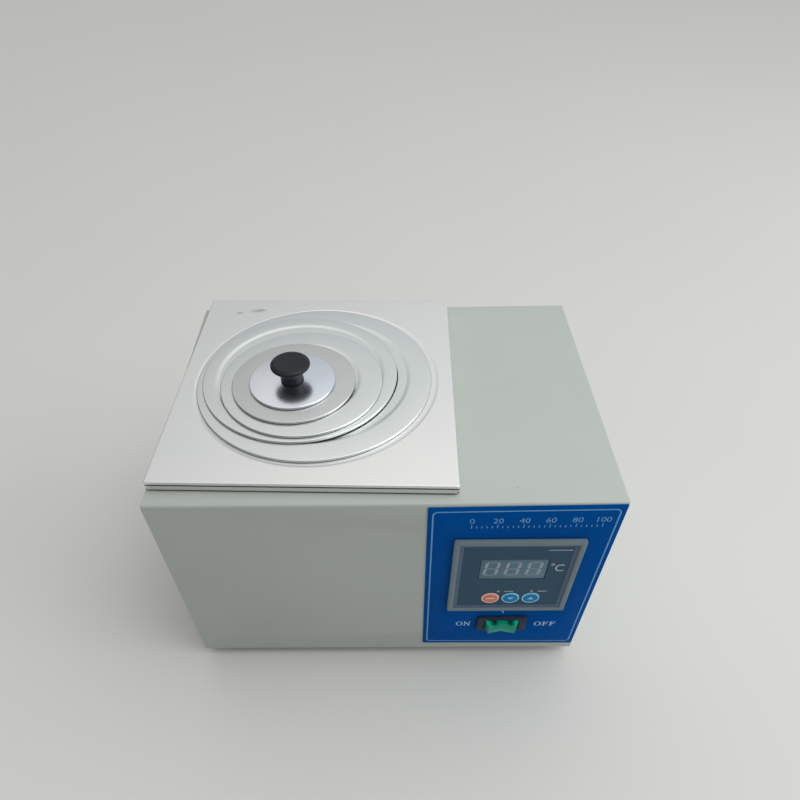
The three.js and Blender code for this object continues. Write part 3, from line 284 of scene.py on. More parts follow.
def finish(name, colour, second, rough, metal=0.0, clouds=14.0, spread=0.3, grain=700.0, detail=2.0,
           depth=0.02, lines=None, specks=None, speck_colour=None, shine=0.5, **fixed):
    """A surface whose colour, gloss and relief all vary a little, from the shared effects."""
    material = bpy.data.materials.new(name)
    material.use_nodes = True
    tree = material.node_tree
    shader = tree.nodes["Principled BSDF"]
    shader.inputs["Metallic"].default_value = metal
    for label, value in fixed.items():
        shader.inputs[label.replace("_", " ")].default_value = value
    shader.inputs["Specular IOR Level"].default_value = shine
    patches = masked(tree, CLOUDS, Scale=clouds, Spread=spread)
    relief = masked(tree, GRAIN, Scale=grain, Detail=detail)
    shown_colour = mixed(tree, patches, colour, second)
    gloss = scaled(tree, patches, *rough)
    if lines:
        drawn = masked(tree, LINES, Scale=lines[0], Stretch=lines[1])
        change = worked(tree, "SUBTRACT", drawn, 0.5)
        gloss = worked(tree, "ADD", gloss, worked(tree, "MULTIPLY", change, lines[2]))
        relief = worked(tree, "ADD", relief, drawn)
    if specks:
        dots = masked(tree, SPECKS, Scale=specks[0], Size=specks[1], Share=specks[2])
        shown_colour = mixed(tree, dots, shown_colour, speck_colour)
    bump = place(tree, "ShaderNodeBump", {"Height": relief, "Strength": 1.0, "Distance": depth * MM})
    tree.links.new(shown_colour, shader.inputs["Base Color"])
    tree.links.new(gloss, shader.inputs["Roughness"])
    tree.links.new(bump.outputs["Normal"], shader.inputs["Normal"])
    return material


def spotted(material, middle, reach, colour, strength=1.0):
    """Adds a soft patch of another colour, its middle and its reach each way in millimetres."""
    tree = material.node_tree
    shown = tree.nodes["Principled BSDF"].inputs["Base Color"]
    mask = place(tree, "ShaderNodeGroup", {
        "Middle": Vector(middle) * MM, "Reach": Vector(reach) * MM, "Strength": strength}, node_tree=SPOT)
    patched = mixed(tree, mask.outputs["Mask"], shown.links[0].from_socket, colour)
    tree.links.new(patched, shown)


# Finishes

case_paint = finish(
    "case_paint", tone(178, 184, 178), tone(173, 179, 174), (0.42, 0.50), clouds=9.0, grain=900.0, detail=3.0,
    depth=0.055, specks=(130.0, 0.09, 0.05), speck_colour=tone(122, 127, 122), shine=0.45)
plate_metal = finish(
    "plate_metal", tone(234, 233, 232), tone(226, 227, 228), (0.36, 0.44), metal=1.0, clouds=16.0,
    grain=500.0, depth=0.012, lines=(700.0, 0.03, 0.10),
    specks=(70.0, 0.09, 0.05), speck_colour=tone(150, 150, 148))
ring_metal = finish(
    "ring_metal", tone(222, 226, 224), tone(214, 219, 218), (0.30, 0.37), metal=1.0, clouds=20.0,
    grain=600.0, depth=0.010, lines=(900.0, 0.04, 0.08),
    specks=(80.0, 0.08, 0.04), speck_colour=tone(140, 142, 142))
dark_ring_metal = finish(
    "dark_ring_metal", tone(206, 209, 207), tone(198, 201, 200), (0.33, 0.40), metal=1.0, clouds=20.0,
    grain=600.0, depth=0.010, lines=(900.0, 0.04, 0.08),
    specks=(90.0, 0.10, 0.06), speck_colour=tone(110, 110, 110))
lid_metal = finish(
    "lid_metal", tone(226, 228, 232), tone(220, 226, 234), (0.20, 0.26), metal=1.0, clouds=24.0, spread=0.35,
    grain=500.0, depth=0.006, lines=(900.0, 0.05, 0.05),
    specks=(110.0, 0.10, 0.05), speck_colour=tone(120, 122, 126))
steel = finish(
    "steel", tone(200, 202, 204), tone(186, 189, 192), (0.28, 0.38), metal=1.0, clouds=25.0,
    grain=800.0, depth=0.010, lines=(800.0, 0.04, 0.10))
black_plastic = finish(
    "black_plastic", tone(24, 28, 32), tone(30, 34, 38), (0.34, 0.42), clouds=60.0, grain=1400.0,
    depth=0.012, shine=0.26)
foot_rubber = finish(
    "foot_rubber", tone(26, 26, 27), tone(38, 38, 38), (0.75, 0.9), clouds=80.0, grain=1500.0, detail=3.0,
    depth=0.05)
label_film = finish(
    "label_film", tone(0, 82, 160), tone(0, 76, 150), (0.40, 0.48), clouds=14.0, grain=1200.0,
    depth=0.010, specks=(160.0, 0.07, 0.04), speck_colour=tone(30, 110, 172), shine=0.01)
print_blue = finish(
    "print_blue", tone(96, 158, 208), tone(86, 146, 198), (0.38, 0.46), clouds=300.0, depth=0.006)
print_pale = finish(
    "print_pale", tone(168, 206, 232), tone(150, 192, 222), (0.38, 0.46), clouds=400.0, depth=0.006)
bezel_plastic = finish(
    "bezel_plastic", tone(118, 134, 140), tone(110, 127, 134), (0.42, 0.52), clouds=60.0,
    grain=1600.0, depth=0.020, shine=0.15)
lip_plastic = finish(
    "lip_plastic", tone(84, 104, 128), tone(76, 96, 120), (0.22, 0.30), clouds=80.0, grain=1200.0,
    depth=0.008, shine=0.15)
face_film = finish(
    "face_film", tone(48, 78, 100), tone(52, 82, 104), (0.32, 0.40), clouds=50.0, grain=1500.0,
    depth=0.008, shine=0.1)
display_lens = finish(
    "display_lens", tone(90, 120, 136), tone(84, 114, 130), (0.24, 0.30), clouds=80.0, depth=0.003,
    shine=0.2)
digit_grey = finish(
    "digit_grey", tone(150, 162, 172), tone(142, 154, 164), (0.3, 0.4), clouds=500.0, depth=0.002)
digit_dim = finish(
    "digit_dim", tone(118, 134, 148), tone(110, 126, 140), (0.3, 0.4), clouds=500.0, depth=0.002)
print_grey = finish(
    "print_grey", tone(186, 196, 204), tone(172, 184, 194), (0.3, 0.4), clouds=500.0, depth=0.002)
button_red = finish(
    "button_red", tone(216, 134, 110), tone(210, 126, 102), (0.34, 0.42), clouds=200.0,
    grain=2500.0, depth=0.006, shine=0.1)
button_blue = finish(
    "button_blue", tone(4, 130, 186), tone(2, 122, 178), (0.34, 0.42), clouds=200.0,
    grain=2500.0, depth=0.006, shine=0.1)
button_rim = finish(
    "button_rim", tone(150, 214, 240), tone(138, 204, 232), (0.34, 0.42), clouds=300.0, depth=0.004)
red_rim = finish(
    "red_rim", tone(246, 206, 190), tone(240, 196, 180), (0.34, 0.42), clouds=300.0, depth=0.004)
lamp_lens = finish(
    "lamp_lens", tone(150, 160, 168), tone(138, 148, 158), (0.14, 0.22), clouds=500.0, depth=0.002)
switch_plastic = finish(
    "switch_plastic", tone(54, 60, 80), tone(48, 54, 72), (0.42, 0.52), clouds=120.0,
    grain=2000.0, depth=0.015, shine=0.1)
brass = finish(
    "brass", tone(206, 172, 104), tone(190, 156, 92), (0.24, 0.34), metal=1.0, clouds=60.0, depth=0.006)
mineral_wool = finish(
    "mineral_wool", tone(222, 210, 160), tone(206, 192, 140), (0.9, 1.0), clouds=60.0, spread=0.25,
    grain=500.0, detail=6.0, depth=0.5)
# Painted shade: a dark grey put on the plate's edge groove and along the foot of its skirt, where shadow falls
seam_shade = finish(
    "seam_shade", tone(92, 92, 90), tone(104, 104, 102), (0.6, 0.7), clouds=40.0, depth=0.01,
    shine=0.1)
board_lacquer = finish(
    "board_lacquer", tone(28, 92, 56), tone(24, 84, 50), (0.25, 0.35), clouds=120.0, depth=0.01)


def wire_sleeve(name, red, green, blue):
    return finish(name, tone(red, green, blue), tone(red * 0.93, green * 0.93, blue * 0.93), (0.42, 0.5),
                  clouds=150.0, grain=1500.0, depth=0.01)


red_sleeve = wire_sleeve("red_sleeve", 172, 44, 36)
blue_sleeve = wire_sleeve("blue_sleeve", 38, 82, 152)
white_sleeve = wire_sleeve("white_sleeve", 218, 218, 210)
green_sleeve = wire_sleeve("green_sleeve", 128, 156, 46)


rocker_plastic = finish(
    "rocker_green", tone(0, 164, 136), tone(0, 152, 124), (0.10, 0.16), clouds=150.0, grain=900.0,
    depth=0.004, shine=0.1, Transmission_Weight=0.12, IOR=1.49)

# Meshes

def tidy(mesh, sharp=35.0):
    """The mesh with doubles merged and faces outwards, smooth but for its sharp edges."""
    work = bmesh.new()
    work.from_mesh(mesh)
    bmesh.ops.remove_doubles(work, verts=work.verts, dist=0.001 * MM)
    bmesh.ops.recalc_face_normals(work, faces=work.faces)
    work.to_mesh(mesh)
    work.free()
    mesh.shade_smooth()
    mesh.set_sharp_from_angle(angle=math.radians(sharp))
    return mesh


def coated(mesh, material):
    """The mesh with this one material."""
    mesh.materials.clear()
    mesh.materials.append(material)
    return mesh


def settled(piece):
    """The piece's mesh with its modifiers worked in."""
    bpy.context.view_layer.update()
    graph = bpy.context.evaluated_depsgraph_get()
    return bpy.data.meshes.new_from_object(piece.evaluated_get(graph))


def working_object(name, data):
    """An object that only serves to work out a mesh."""
    helper = bpy.data.objects.new(name, data)
    bpy.context.scene.collection.objects.link(helper)
    return helper


def taken(helper):
    """The helper's finished mesh; the helper goes."""
    mesh = settled(helper)
    bpy.data.objects.remove(helper)
    return mesh


def rounded(width, height, radius, x=0.0, y=0.0, steps=6):
    """A rectangle's outline with round corners, anticlockwise."""
    points = []
    for corner, (side_x, side_y) in enumerate(((1, 1), (-1, 1), (-1, -1), (1, -1))):
        for i in range(steps + 1):
            turn = QUARTER * (corner + i / steps)
            points.append((x + side_x * (width / 2 - radius) + radius * math.cos(turn),
                           y + side_y * (height / 2 - radius) + radius * math.sin(turn)))
    return points


def circle(radius, x=0.0, y=0.0, steps=48):
    turns = [2 * math.pi * i / steps for i in range(steps)]
    return [(x + radius * math.cos(turn), y + radius * math.sin(turn)) for turn in turns]


def flat_shape(outlines, thickness, edge=0.0, edge_steps=2):
    """A flat shape from closed outlines in X and Y, rising from z = 0, with rounded edges. Millimetres."""
    curve = bpy.data.curves.new("flat_shape", "CURVE")
    curve.dimensions = "2D"
    curve.fill_mode = "BOTH"
    curve.extrude = thickness / 2 - edge
    curve.bevel_depth = edge
    curve.bevel_resolution = edge_steps
    curve.offset = -edge
    for index, outline in enumerate(outlines):
        spline = curve.splines.new("POLY")
        spline.points.add(len(outline) - 1)
        for point, (x, y) in zip(spline.points, outline if index == 0 else reversed(outline)):
            point.co = (x, y, 0, 1)
        spline.use_cyclic_u = True
    mesh = taken(working_object("flat_shape", curve))
    mesh.transform(Matrix.Translation((0, 0, thickness / 2)))
    return mesh


def onto_front(mesh, x, z, y):
    """A flat shape stood up on the front: its Y goes up, and it rises towards the viewer from y."""
    mesh.transform(Matrix.Translation((x, y, z)) @ Matrix.Rotation(QUARTER, 4, "X") @ Matrix.Scale(MM, 4))
    return mesh


def loft(rows, skip=lambda row, column: False):
    """Faces between each row of points and the next, each row closed round."""
    mesh = bpy.data.meshes.new("loft")
    count = len(rows[0])
    points = [Vector(point) * MM for row in rows for point in row]
    faces = []
    for row in range(len(rows) - 1):
        for column in range(count):
            if skip(row, column):
                continue
            after = (column + 1) % count
            faces.append((row * count + column, row * count + after, (row + 1) * count + after,
                          (row + 1) * count + column))
    mesh.from_pydata(points, [], faces)
    return mesh


def filleted(corners, steps=5):
    """A profile whose corners (radius, height, rounding) are rounded."""
    points = []
    count = len(corners)
    for i, (x, y, rounding) in enumerate(corners):
        here = Vector((x, y))
        if not rounding:
            points.append((x, y))
            continue
        before = (Vector(corners[i - 1][:2]) - here).normalized()
        after = (Vector(corners[(i + 1) % count][:2]) - here).normalized()
        half = before.angle(after) / 2
        start = here + before * (rounding / math.tan(half))
        end = here + after * (rounding / math.tan(half))
        centre = here + (before + after).normalized() * (rounding / math.sin(half))
        first, last = start - centre, end - centre
        for k in range(steps + 1):
            turned_by = first.lerp(last, k / steps)
            points.append(tuple(centre + turned_by.normalized() * rounding))
    return points


# Geometry node trees: a turned profile, and copies set at given places

def turning_tree():
    """Turns a row of points about Z: each point's x is its radius, and its z its height."""
    tree, given, result = new_group("Turned Profile", "GeometryNodeTree", [
        ("Profile", "NodeSocketGeometry", None), ("Steps", "NodeSocketInt", RING_STEPS),
        ("Finish", "NodeSocketMaterial", None)], "Piece", "NodeSocketGeometry")
    size = place(tree, "GeometryNodeAttributeDomainSize", {
        "Geometry": given.outputs["Profile"]}, component="MESH")
    count = size.outputs["Point Count"]
    around = worked(tree, "ADD", given.outputs["Steps"], 1.0)
    grid = place(tree, "GeometryNodeMeshGrid", {"Vertices X": around, "Vertices Y": count})
    index = place(tree, "GeometryNodeInputIndex").outputs[0]
    along = worked(tree, "MODULO", index, count)
    step = worked(tree, "FLOOR", worked(tree, "DIVIDE", index, count))
    spot = place(tree, "GeometryNodeInputPosition").outputs[0]
    taken_point = place(tree, "GeometryNodeSampleIndex", data_type="FLOAT_VECTOR", domain="POINT")
    tree.links.new(given.outputs["Profile"], taken_point.inputs["Geometry"])
    tree.links.new(spot, taken_point.inputs["Value"])
    tree.links.new(along, taken_point.inputs["Index"])
    angle = worked(tree, "MULTIPLY", worked(tree, "DIVIDE", step, given.outputs["Steps"]), 2 * math.pi)
    turned_point = place(tree, "ShaderNodeVectorRotate", {
        "Vector": taken_point.outputs["Value"], "Angle": angle}, rotation_type="Z_AXIS")
    moved = place(tree, "GeometryNodeSetPosition", {
        "Geometry": grid.outputs["Mesh"], "Position": turned_point.outputs[0]})
    merged = place(tree, "GeometryNodeMergeByDistance", {
        "Geometry": moved.outputs["Geometry"], "Distance": 0.001 * MM})
    real = place(tree, "GeometryNodeRealizeInstances", {"Geometry": merged.outputs["Geometry"]})
    last = place(tree, "GeometryNodeSetMaterial", {
        "Geometry": real.outputs["Geometry"], "Material": given.outputs["Finish"]})
    tree.links.new(last.outputs["Geometry"], result.inputs["Piece"])
    return tree


def copying_tree():
    """Sets a copy of a shape at each given point, stretched by the point's own stretch."""
    tree, given, result = new_group("Placed Copies", "GeometryNodeTree", [
        ("Places", "NodeSocketGeometry", None), ("Shape", "NodeSocketObject", None),
        ("Finish", "NodeSocketMaterial", None)], "Piece", "NodeSocketGeometry")
    shape = place(tree, "GeometryNodeObjectInfo", {"Object": given.outputs["Shape"]})
    stretch = place(tree, "GeometryNodeInputNamedAttribute", {"Name": "stretch"}, data_type="FLOAT_VECTOR")
    spots = place(tree, "GeometryNodeMeshToPoints", {"Mesh": given.outputs["Places"]})
    copies = place(tree, "GeometryNodeInstanceOnPoints", {
        "Points": spots.outputs["Points"], "Instance": shape.outputs["Geometry"],
        "Scale": stretch.outputs["Attribute"]})
    real = place(tree, "GeometryNodeRealizeInstances", {"Geometry": copies.outputs["Instances"]})
    last = place(tree, "GeometryNodeSetMaterial", {
        "Geometry": real.outputs["Geometry"], "Material": given.outputs["Finish"]})
    tree.links.new(last.outputs["Geometry"], result.inputs["Piece"])
    return tree


TURNING = turning_tree()
COPYING = copying_tree()


def through_tree(mesh, tree, values):
    """The mesh that a tree makes of this one, with the tree's named inputs set."""
    helper = working_object(tree.name, mesh)
    step = helper.modifiers.new(tree.name, "NODES")
    step.node_group = tree
    sockets = {item.name: item.identifier for item in tree.interface.items_tree if item.in_out == "INPUT"}
    for label, value in values.items():
        step[sockets[label]] = value
    return taken(helper)


def turned(profile, material, steps=RING_STEPS, closed=True):
    """A turned piece from a profile of (radius, height) in millimetres, about Z."""
    points = [(radius * MM, 0, height * MM) for radius, height in profile]
    if closed:
        points.append(points[0])
    mesh = bpy.data.meshes.new("profile")
    mesh.from_pydata(points, [(i, i + 1) for i in range(len(points) - 1)], [])
    return tidy(through_tree(mesh, TURNING, {"Steps": steps, "Finish": material}))


def copied(shape, places, material):
    """Copies of a mesh at (point, stretch) places."""
    mesh = bpy.data.meshes.new("places")
    mesh.from_pydata([point for point, stretch in places], [], [])
    stretches = mesh.attributes.new("stretch", "FLOAT_VECTOR", "POINT")
    for item, (point, stretch) in zip(stretches.data, places):
        item.vector = stretch
    helper = working_object("shape", shape)
    result = through_tree(mesh, COPYING, {"Shape": helper, "Finish": material})
    bpy.data.objects.remove(helper)
    return tidy(result)


def joined(*meshes):
    """Several meshes as one, each with its own material kept."""
    work = bmesh.new()
    materials = []
    for mesh in meshes:
        first = len(work.faces)
        work.from_mesh(mesh)
        work.faces.ensure_lookup_table()
        for face in work.faces[first:]:
            material = mesh.materials[face.material_index]
            if material not in materials:
                materials.append(material)
            face.material_index = materials.index(material)
    result = bpy.data.meshes.new("joined")
    work.to_mesh(result)
    work.free()
    for material in materials:
        result.materials.append(material)
    return result


# Pieces

BODY_OF = {node: body for body, nodes in frame["record"]["behaviour"]["bodies"].items() for node in nodes}


def piece(name, mesh, material, node, replaces=True, slot=None):
    """A finished piece that rides with a node's body, and stands for the node if it replaces it."""
    if material is not None:
        coated(mesh, material)
    made = bpy.data.objects.new(name, mesh)
    mesh.name = name
    bpy.context.scene.collection.objects.link(made)
    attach(made, BODY_OF[node])
    if replaces:
        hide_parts(node)
    return made


def dressed(node, material, edge=0.25, steps=3, sharp=50.0):
    """A copy of a node with its edges rounded, in its finish."""
    mesh = frame["nodes"][node].data.copy()
    work = bmesh.new()
    work.from_mesh(mesh)
    bmesh.ops.remove_doubles(work, verts=work.verts, dist=0.001 * MM)
    bmesh.ops.dissolve_limit(work, angle_limit=math.radians(0.5), verts=work.verts, edges=work.edges)
    work.to_mesh(mesh)
    work.free()
    helper = working_object(node, mesh)
    bevel = helper.modifiers.new("edges", "BEVEL")
    bevel.width = edge * MM
    bevel.segments = steps
    bevel.limit_method = "ANGLE"
    bevel.angle_limit = math.radians(40)
    bevel.use_clamp_overlap = True
    result = taken(helper)
    result.shade_smooth()
    result.set_sharp_from_angle(angle=math.radians(sharp))
    return piece(node + "_shown", result, material, node)


def dressed_each(nodes, material, edge=0.25):
    for node in nodes.split():
        dressed(node, material, edge=edge)


def finished(node, material):
    """A node whose own shape is right, in a better finish."""
    shape = frame["nodes"][node]
    coated(shape.data, material)
    return shape


def centre(node):
    low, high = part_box(node)
    return (low + high) / 2


LABEL_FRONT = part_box("panel_label")[0].y
FACE_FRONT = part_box("controller_face")[0].y
WINDOW_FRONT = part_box("display_window")[0].y


def set_down(mesh, node):
    """Moves a mesh made round Z to the node's middle, onto its lower side."""
    middle = centre(node)
    mesh.transform(Matrix.Translation((middle.x, middle.y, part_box(node)[0].z)))
    return mesh


def corners_of(node):
    """A node's points in millimetres from its middle, and above its lower side."""
    shape = frame["nodes"][node]
    low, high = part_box(node)
    middle = Vector(((low.x + high.x) / 2, (low.y + high.y) / 2, low.z))
    return [(shape.matrix_world @ vertex.co - middle) / MM for vertex in shape.data.vertices]


# Case

def make_case():
    dressed("case_shell", case_paint, edge=0.3)
    dressed_each("side_panel_left side_panel_right", case_paint, edge=0.4)
    dressed("base_plate", case_paint, edge=0.2)
    for number in range(1, 5):
        dressed(f"foot_{number}", foot_rubber, edge=0.5)
        finished(f"foot_screw_{number}", steel)


SMUDGE_GREY = tone(176, 178, 186)


# Lid plate: one sheet, pressed down round the first ring, with a folded edge

def ray_to_edge(turn, half_x, half_y, radius):
    """Where a ray from the middle meets a rectangle with round corners."""
    side_x, side_y = math.cos(turn), math.sin(turn)
    reach = min(half_x / max(abs(side_x), 1e-9), half_y / max(abs(side_y), 1e-9))
    x, y = abs(side_x) * reach, abs(side_y) * reach
    inner_x, inner_y = half_x - radius, half_y - radius
    if x > inner_x and y > inner_y:
        along = abs(side_x) * inner_x + abs(side_y) * inner_y
        reach = along + math.sqrt(max(along**2 - inner_x**2 - inner_y**2 + radius**2, 0))
    return side_x * reach, side_y * reach


def make_plate():
    low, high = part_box("lid_plate")
    back = Matrix.Rotation(math.radians(-PLATE_TURN), 3, "Z")
    points = [back @ point for point in corners_of("lid_plate")]
    half_x = max(point.x for point in points)
    half_y = max(point.y for point in points)
    top = max(point.z for point in points)
    hole = min(point.xy.length for point in points)
    recess = max(point.xy.length for point in points if abs(point.z - top + PLATE_RECESS_DEPTH) < 0.01)
    corner = math.atan2(half_y, half_x)
    near = math.radians(1.6)
    turns = [2 * math.pi * i / RING_STEPS for i in range(RING_STEPS)]
    for k in range(4):
        at = corner if k % 2 == 0 else math.pi - corner
        at += math.pi * (k // 2)
        turns = [turn for turn in turns if abs(turn - at) > near]
        turns += [at + near * i / 5 for i in range(-5, 6)]
    turns.sort()
    press = [(hole, -PLATE_RECESS_DEPTH), (recess - 1.0, -PLATE_RECESS_DEPTH)]
    for i in range(9):
        share = i / 8
        ease = share * share * (3 - 2 * share)
        press.append((recess + PLATE_SLOPE * share, -PLATE_RECESS_DEPTH * (1 - ease)))
    press += [(recess + PLATE_SLOPE + 0.4, 0), (recess + PLATE_SLOPE + 1.0, 0)]
    rows = [[(radius * math.cos(turn), radius * math.sin(turn), height) for turn in turns]
            for radius, height in press]

    def edge_row(inset, height):
        return [(*ray_to_edge(turn, half_x - inset, half_y - inset, PLATE_CORNER), height) for turn in turns]

    for inset in (PLATE_FOLD + 0.8, PLATE_FOLD + 0.3):
        rows.append(edge_row(inset, 0))
    for i in range(6):
        turn_in = QUARTER * i / 5
        inset = PLATE_FOLD * (1 - math.sin(turn_in))
        drop = PLATE_FOLD * (1 - math.cos(turn_in))
        rows.append(edge_row(inset, -drop))
    seam = len(rows)
    for inset, drop in ((0, PLATE_EDGE), (PLATE_GROOVE, PLATE_EDGE + 0.1), (PLATE_GROOVE, PLATE_EDGE + 0.8),
                        (0.1, PLATE_EDGE + 1.1), (0.1, PLATE_EDGE + 1.3), (0.1, top - PLATE_FOOT - PLATE_HEM),
                        (0.1, top - PLATE_FOOT)):
        rows.append(edge_row(inset, -drop))
    skirt = len(rows) - 2

    def notch(row, column):
        x, y, _ = rows[-1][column]
        after_x, after_y, _ = rows[-1][(column + 1) % len(turns)]
        return row >= skirt - 1 and all(
            abs(px) > half_x - PLATE_NOTCH and abs(py) > half_y - PLATE_NOTCH
            for px, py in ((x, y), (after_x, after_y)))

    mesh = loft(rows, notch)
    mesh.materials.append(plate_metal)
    mesh.materials.append(seam_shade)
    # The groove under the top sheet and the lowest band of the skirt take the painted shade
    heights = ((-PLATE_EDGE - 1.05, -PLATE_EDGE - 0.05), (-top, -top + PLATE_FOOT + PLATE_HEM))
    for face in mesh.polygons[seam * len(turns):]:
        if any(bottom < face.center.z / MM < head for bottom, head in heights):
            face.material_index = 1
    mesh.transform(Matrix.Translation((centre("lid_plate").x, centre("lid_plate").y, high.z))
                   @ Matrix.Rotation(math.radians(PLATE_TURN), 4, "Z"))
    work = bmesh.new()
    work.from_mesh(mesh)
    bmesh.ops.recalc_face_normals(work, faces=work.faces)
    if sum(face.normal.z for face in work.faces) < 0:
        bmesh.ops.reverse_faces(work, faces=work.faces)
    work.to_mesh(mesh)
    work.free()
    helper = working_object("plate", mesh)
    wall = helper.modifiers.new("wall", "SOLIDIFY")
    wall.thickness = PLATE_SHEET * MM
    wall.offset = -1.0
    result = taken(helper)
    result.shade_smooth()
    result.set_sharp_from_angle(angle=math.radians(40))
    piece("lid_plate_shown", result, None, "lid_plate")
    middle = centre("lid_plate") / MM
    for (x, y), (wide, long) in SMUDGES:
        spotted(plate_metal, (middle.x + x, middle.y + y, high.z / MM), (wide, long, 3.0), SMUDGE_GREY, 0.75)


# Rings and centre lid

# Painted sheen: the centre lid is painted lighter and pinker on its left and darker and bluer on its right, as
# the light falls across it
LID_LIT = tone(255, 247, 251)
LID_DIM = tone(190, 206, 220)


def make_ring(node, material):
    points = corners_of(node)
    radius = max(point.xy.length for point in points)
    top = max(point.z for point in points)
    hole = min(point.xy.length for point in points)
    step_top = min(point.xy.length for point in points if point.z > top - 0.01)
    step_foot = step_top - STEP_WIDTH
    ledge = top - STEP_DEPTH
    inner = STEP_ROUND - SHEET
    outer = [
        (radius - SHEET, 0, 0), (radius, 0, 0.12), (radius, top, RIM_ROUND), (step_top, top, STEP_ROUND),
        (step_foot, ledge, inner), (hole, ledge, 0.3), (hole, ledge - SHEET, 0),
        (step_foot, ledge - SHEET, STEP_ROUND), (step_top, top - SHEET, inner),
        (radius - SHEET, top - SHEET, 0)]
    piece(node + "_shown", set_down(turned(filleted(outer, 8), material), node), None, node)


def make_centre_lid():
    low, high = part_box("centre_lid")
    radius = (high.x - low.x) / MM / 2
    top = (high.z - low.z) / MM
    outline = [
        (radius - SHEET, 0, 0), (radius, 0, 0.12), (radius, top, RIM_ROUND), (KNOB_BORE, top, 0),
        (KNOB_BORE, top - SHEET, 0), (radius - SHEET, top - SHEET, 0)]
    piece("centre_lid_shown", set_down(turned(filleted(outline), lid_metal), "centre_lid"), None, "centre_lid")
    middle = centre("centre_lid") / MM
    # Paints the lid's lit side and its shaded side over its metal
    for side, reach, colour in ((-1, LID_LIT_REACH, LID_LIT), (1, LID_DIM_REACH, LID_DIM)):
        spotted(lid_metal, (middle.x + side * LID_SHADE_ASIDE, middle.y, top), reach, colour)


def make_knob():
    mesh = turned(filleted(KNOB_OUTLINE, 8), black_plastic, steps=96)
    piece("knob_shown", set_down(mesh, "knob"), None, "knob")
    finished("knob_screw", steel)


# Label and its prints

def letter_outline(letter):
    """Plain book letters one unit high: their outlines and their width."""
    if letter == "O":
        return [[(0.45 + 0.45 * math.cos(t), 0.5 + 0.52 * math.sin(t)) for t in turns_of(40)],
                [(0.45 + 0.28 * math.cos(t), 0.5 + 0.45 * math.sin(t)) for t in turns_of(40)]], 0.90
    if letter == "N":
        return [[
            (0.00, 0.00), (0.36, 0.00), (0.36, 0.07), (0.23, 0.07), (0.23, 0.78), (0.76, 0.00), (0.86, 0.00),
            (0.86, 0.93), (0.98, 0.93), (0.98, 1.00), (0.62, 1.00), (0.62, 0.93), (0.75, 0.93), (0.75, 0.30),
            (0.28, 1.00), (0.02, 1.00), (0.02, 0.93), (0.12, 0.93), (0.12, 0.07), (0.00, 0.07)]], 0.98
    return [[
        (0.00, 0.00), (0.44, 0.00), (0.44, 0.07), (0.31, 0.07), (0.31, 0.48), (0.50, 0.48), (0.54, 0.36),
        (0.60, 0.36), (0.60, 0.68), (0.54, 0.68), (0.50, 0.56), (0.31, 0.56), (0.31, 0.92), (0.62, 0.92),
        (0.70, 0.74), (0.76, 0.74), (0.74, 1.00), (0.00, 1.00), (0.00, 0.93), (0.13, 0.93), (0.13, 0.07),
        (0.00, 0.07)]], 0.76


def turns_of(steps):
    return [2 * math.pi * i / steps for i in range(steps)]


def label_way(mesh):
    """Moves a flat print as the label lies: its corners are a little off square."""
    low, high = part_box("panel_label")
    for vertex in mesh.vertices:
        across = (vertex.co.x - low.x) / (high.x - low.x)
        up = (vertex.co.z - low.z) / (high.z - low.z)
        lower = Vector(LABEL_SHIFTS[0]).lerp(Vector(LABEL_SHIFTS[1]), across)
        upper = Vector(LABEL_SHIFTS[3]).lerp(Vector(LABEL_SHIFTS[2]), across)
        shift = lower.lerp(upper, up) * MM
        vertex.co.x += shift.x
        vertex.co.z += shift.y
    return mesh


def make_word(name, letters, spot, material):
    """Printed letters that fill a box of (x, z, width, height) on the label."""
    x, z, width, height = spot
    gap = 0.12
    total = sum(letter_outline(letter)[1] for letter in letters) + gap * (len(letters) - 1)
    at = 0.0
    meshes = []
    for letter in letters:
        outlines, wide = letter_outline(letter)
        sized = [[((at + px) / total * width, py * height) for px, py in outline] for outline in outlines]
        meshes.append(coated(flat_shape(sized, PRINT), material))
        at += wide + gap
    word = label_way(onto_front(joined(*meshes), x * MM, z * MM, LABEL_FRONT))
    piece(name, tidy(word), None, "panel_label", replaces=False)


def make_text(text, height):
    """Plain figures as a flat mesh, height in millimetres, standing on their base line from x = 0."""
    letters = bpy.data.curves.new("text", "FONT")
    letters.body = text
    letters.size = height / 0.73
    letters.extrude = PRINT / 2
    mesh = taken(working_object("text", letters))
    mesh.transform(Matrix.Translation((0, 0, PRINT / 2)))
    return mesh


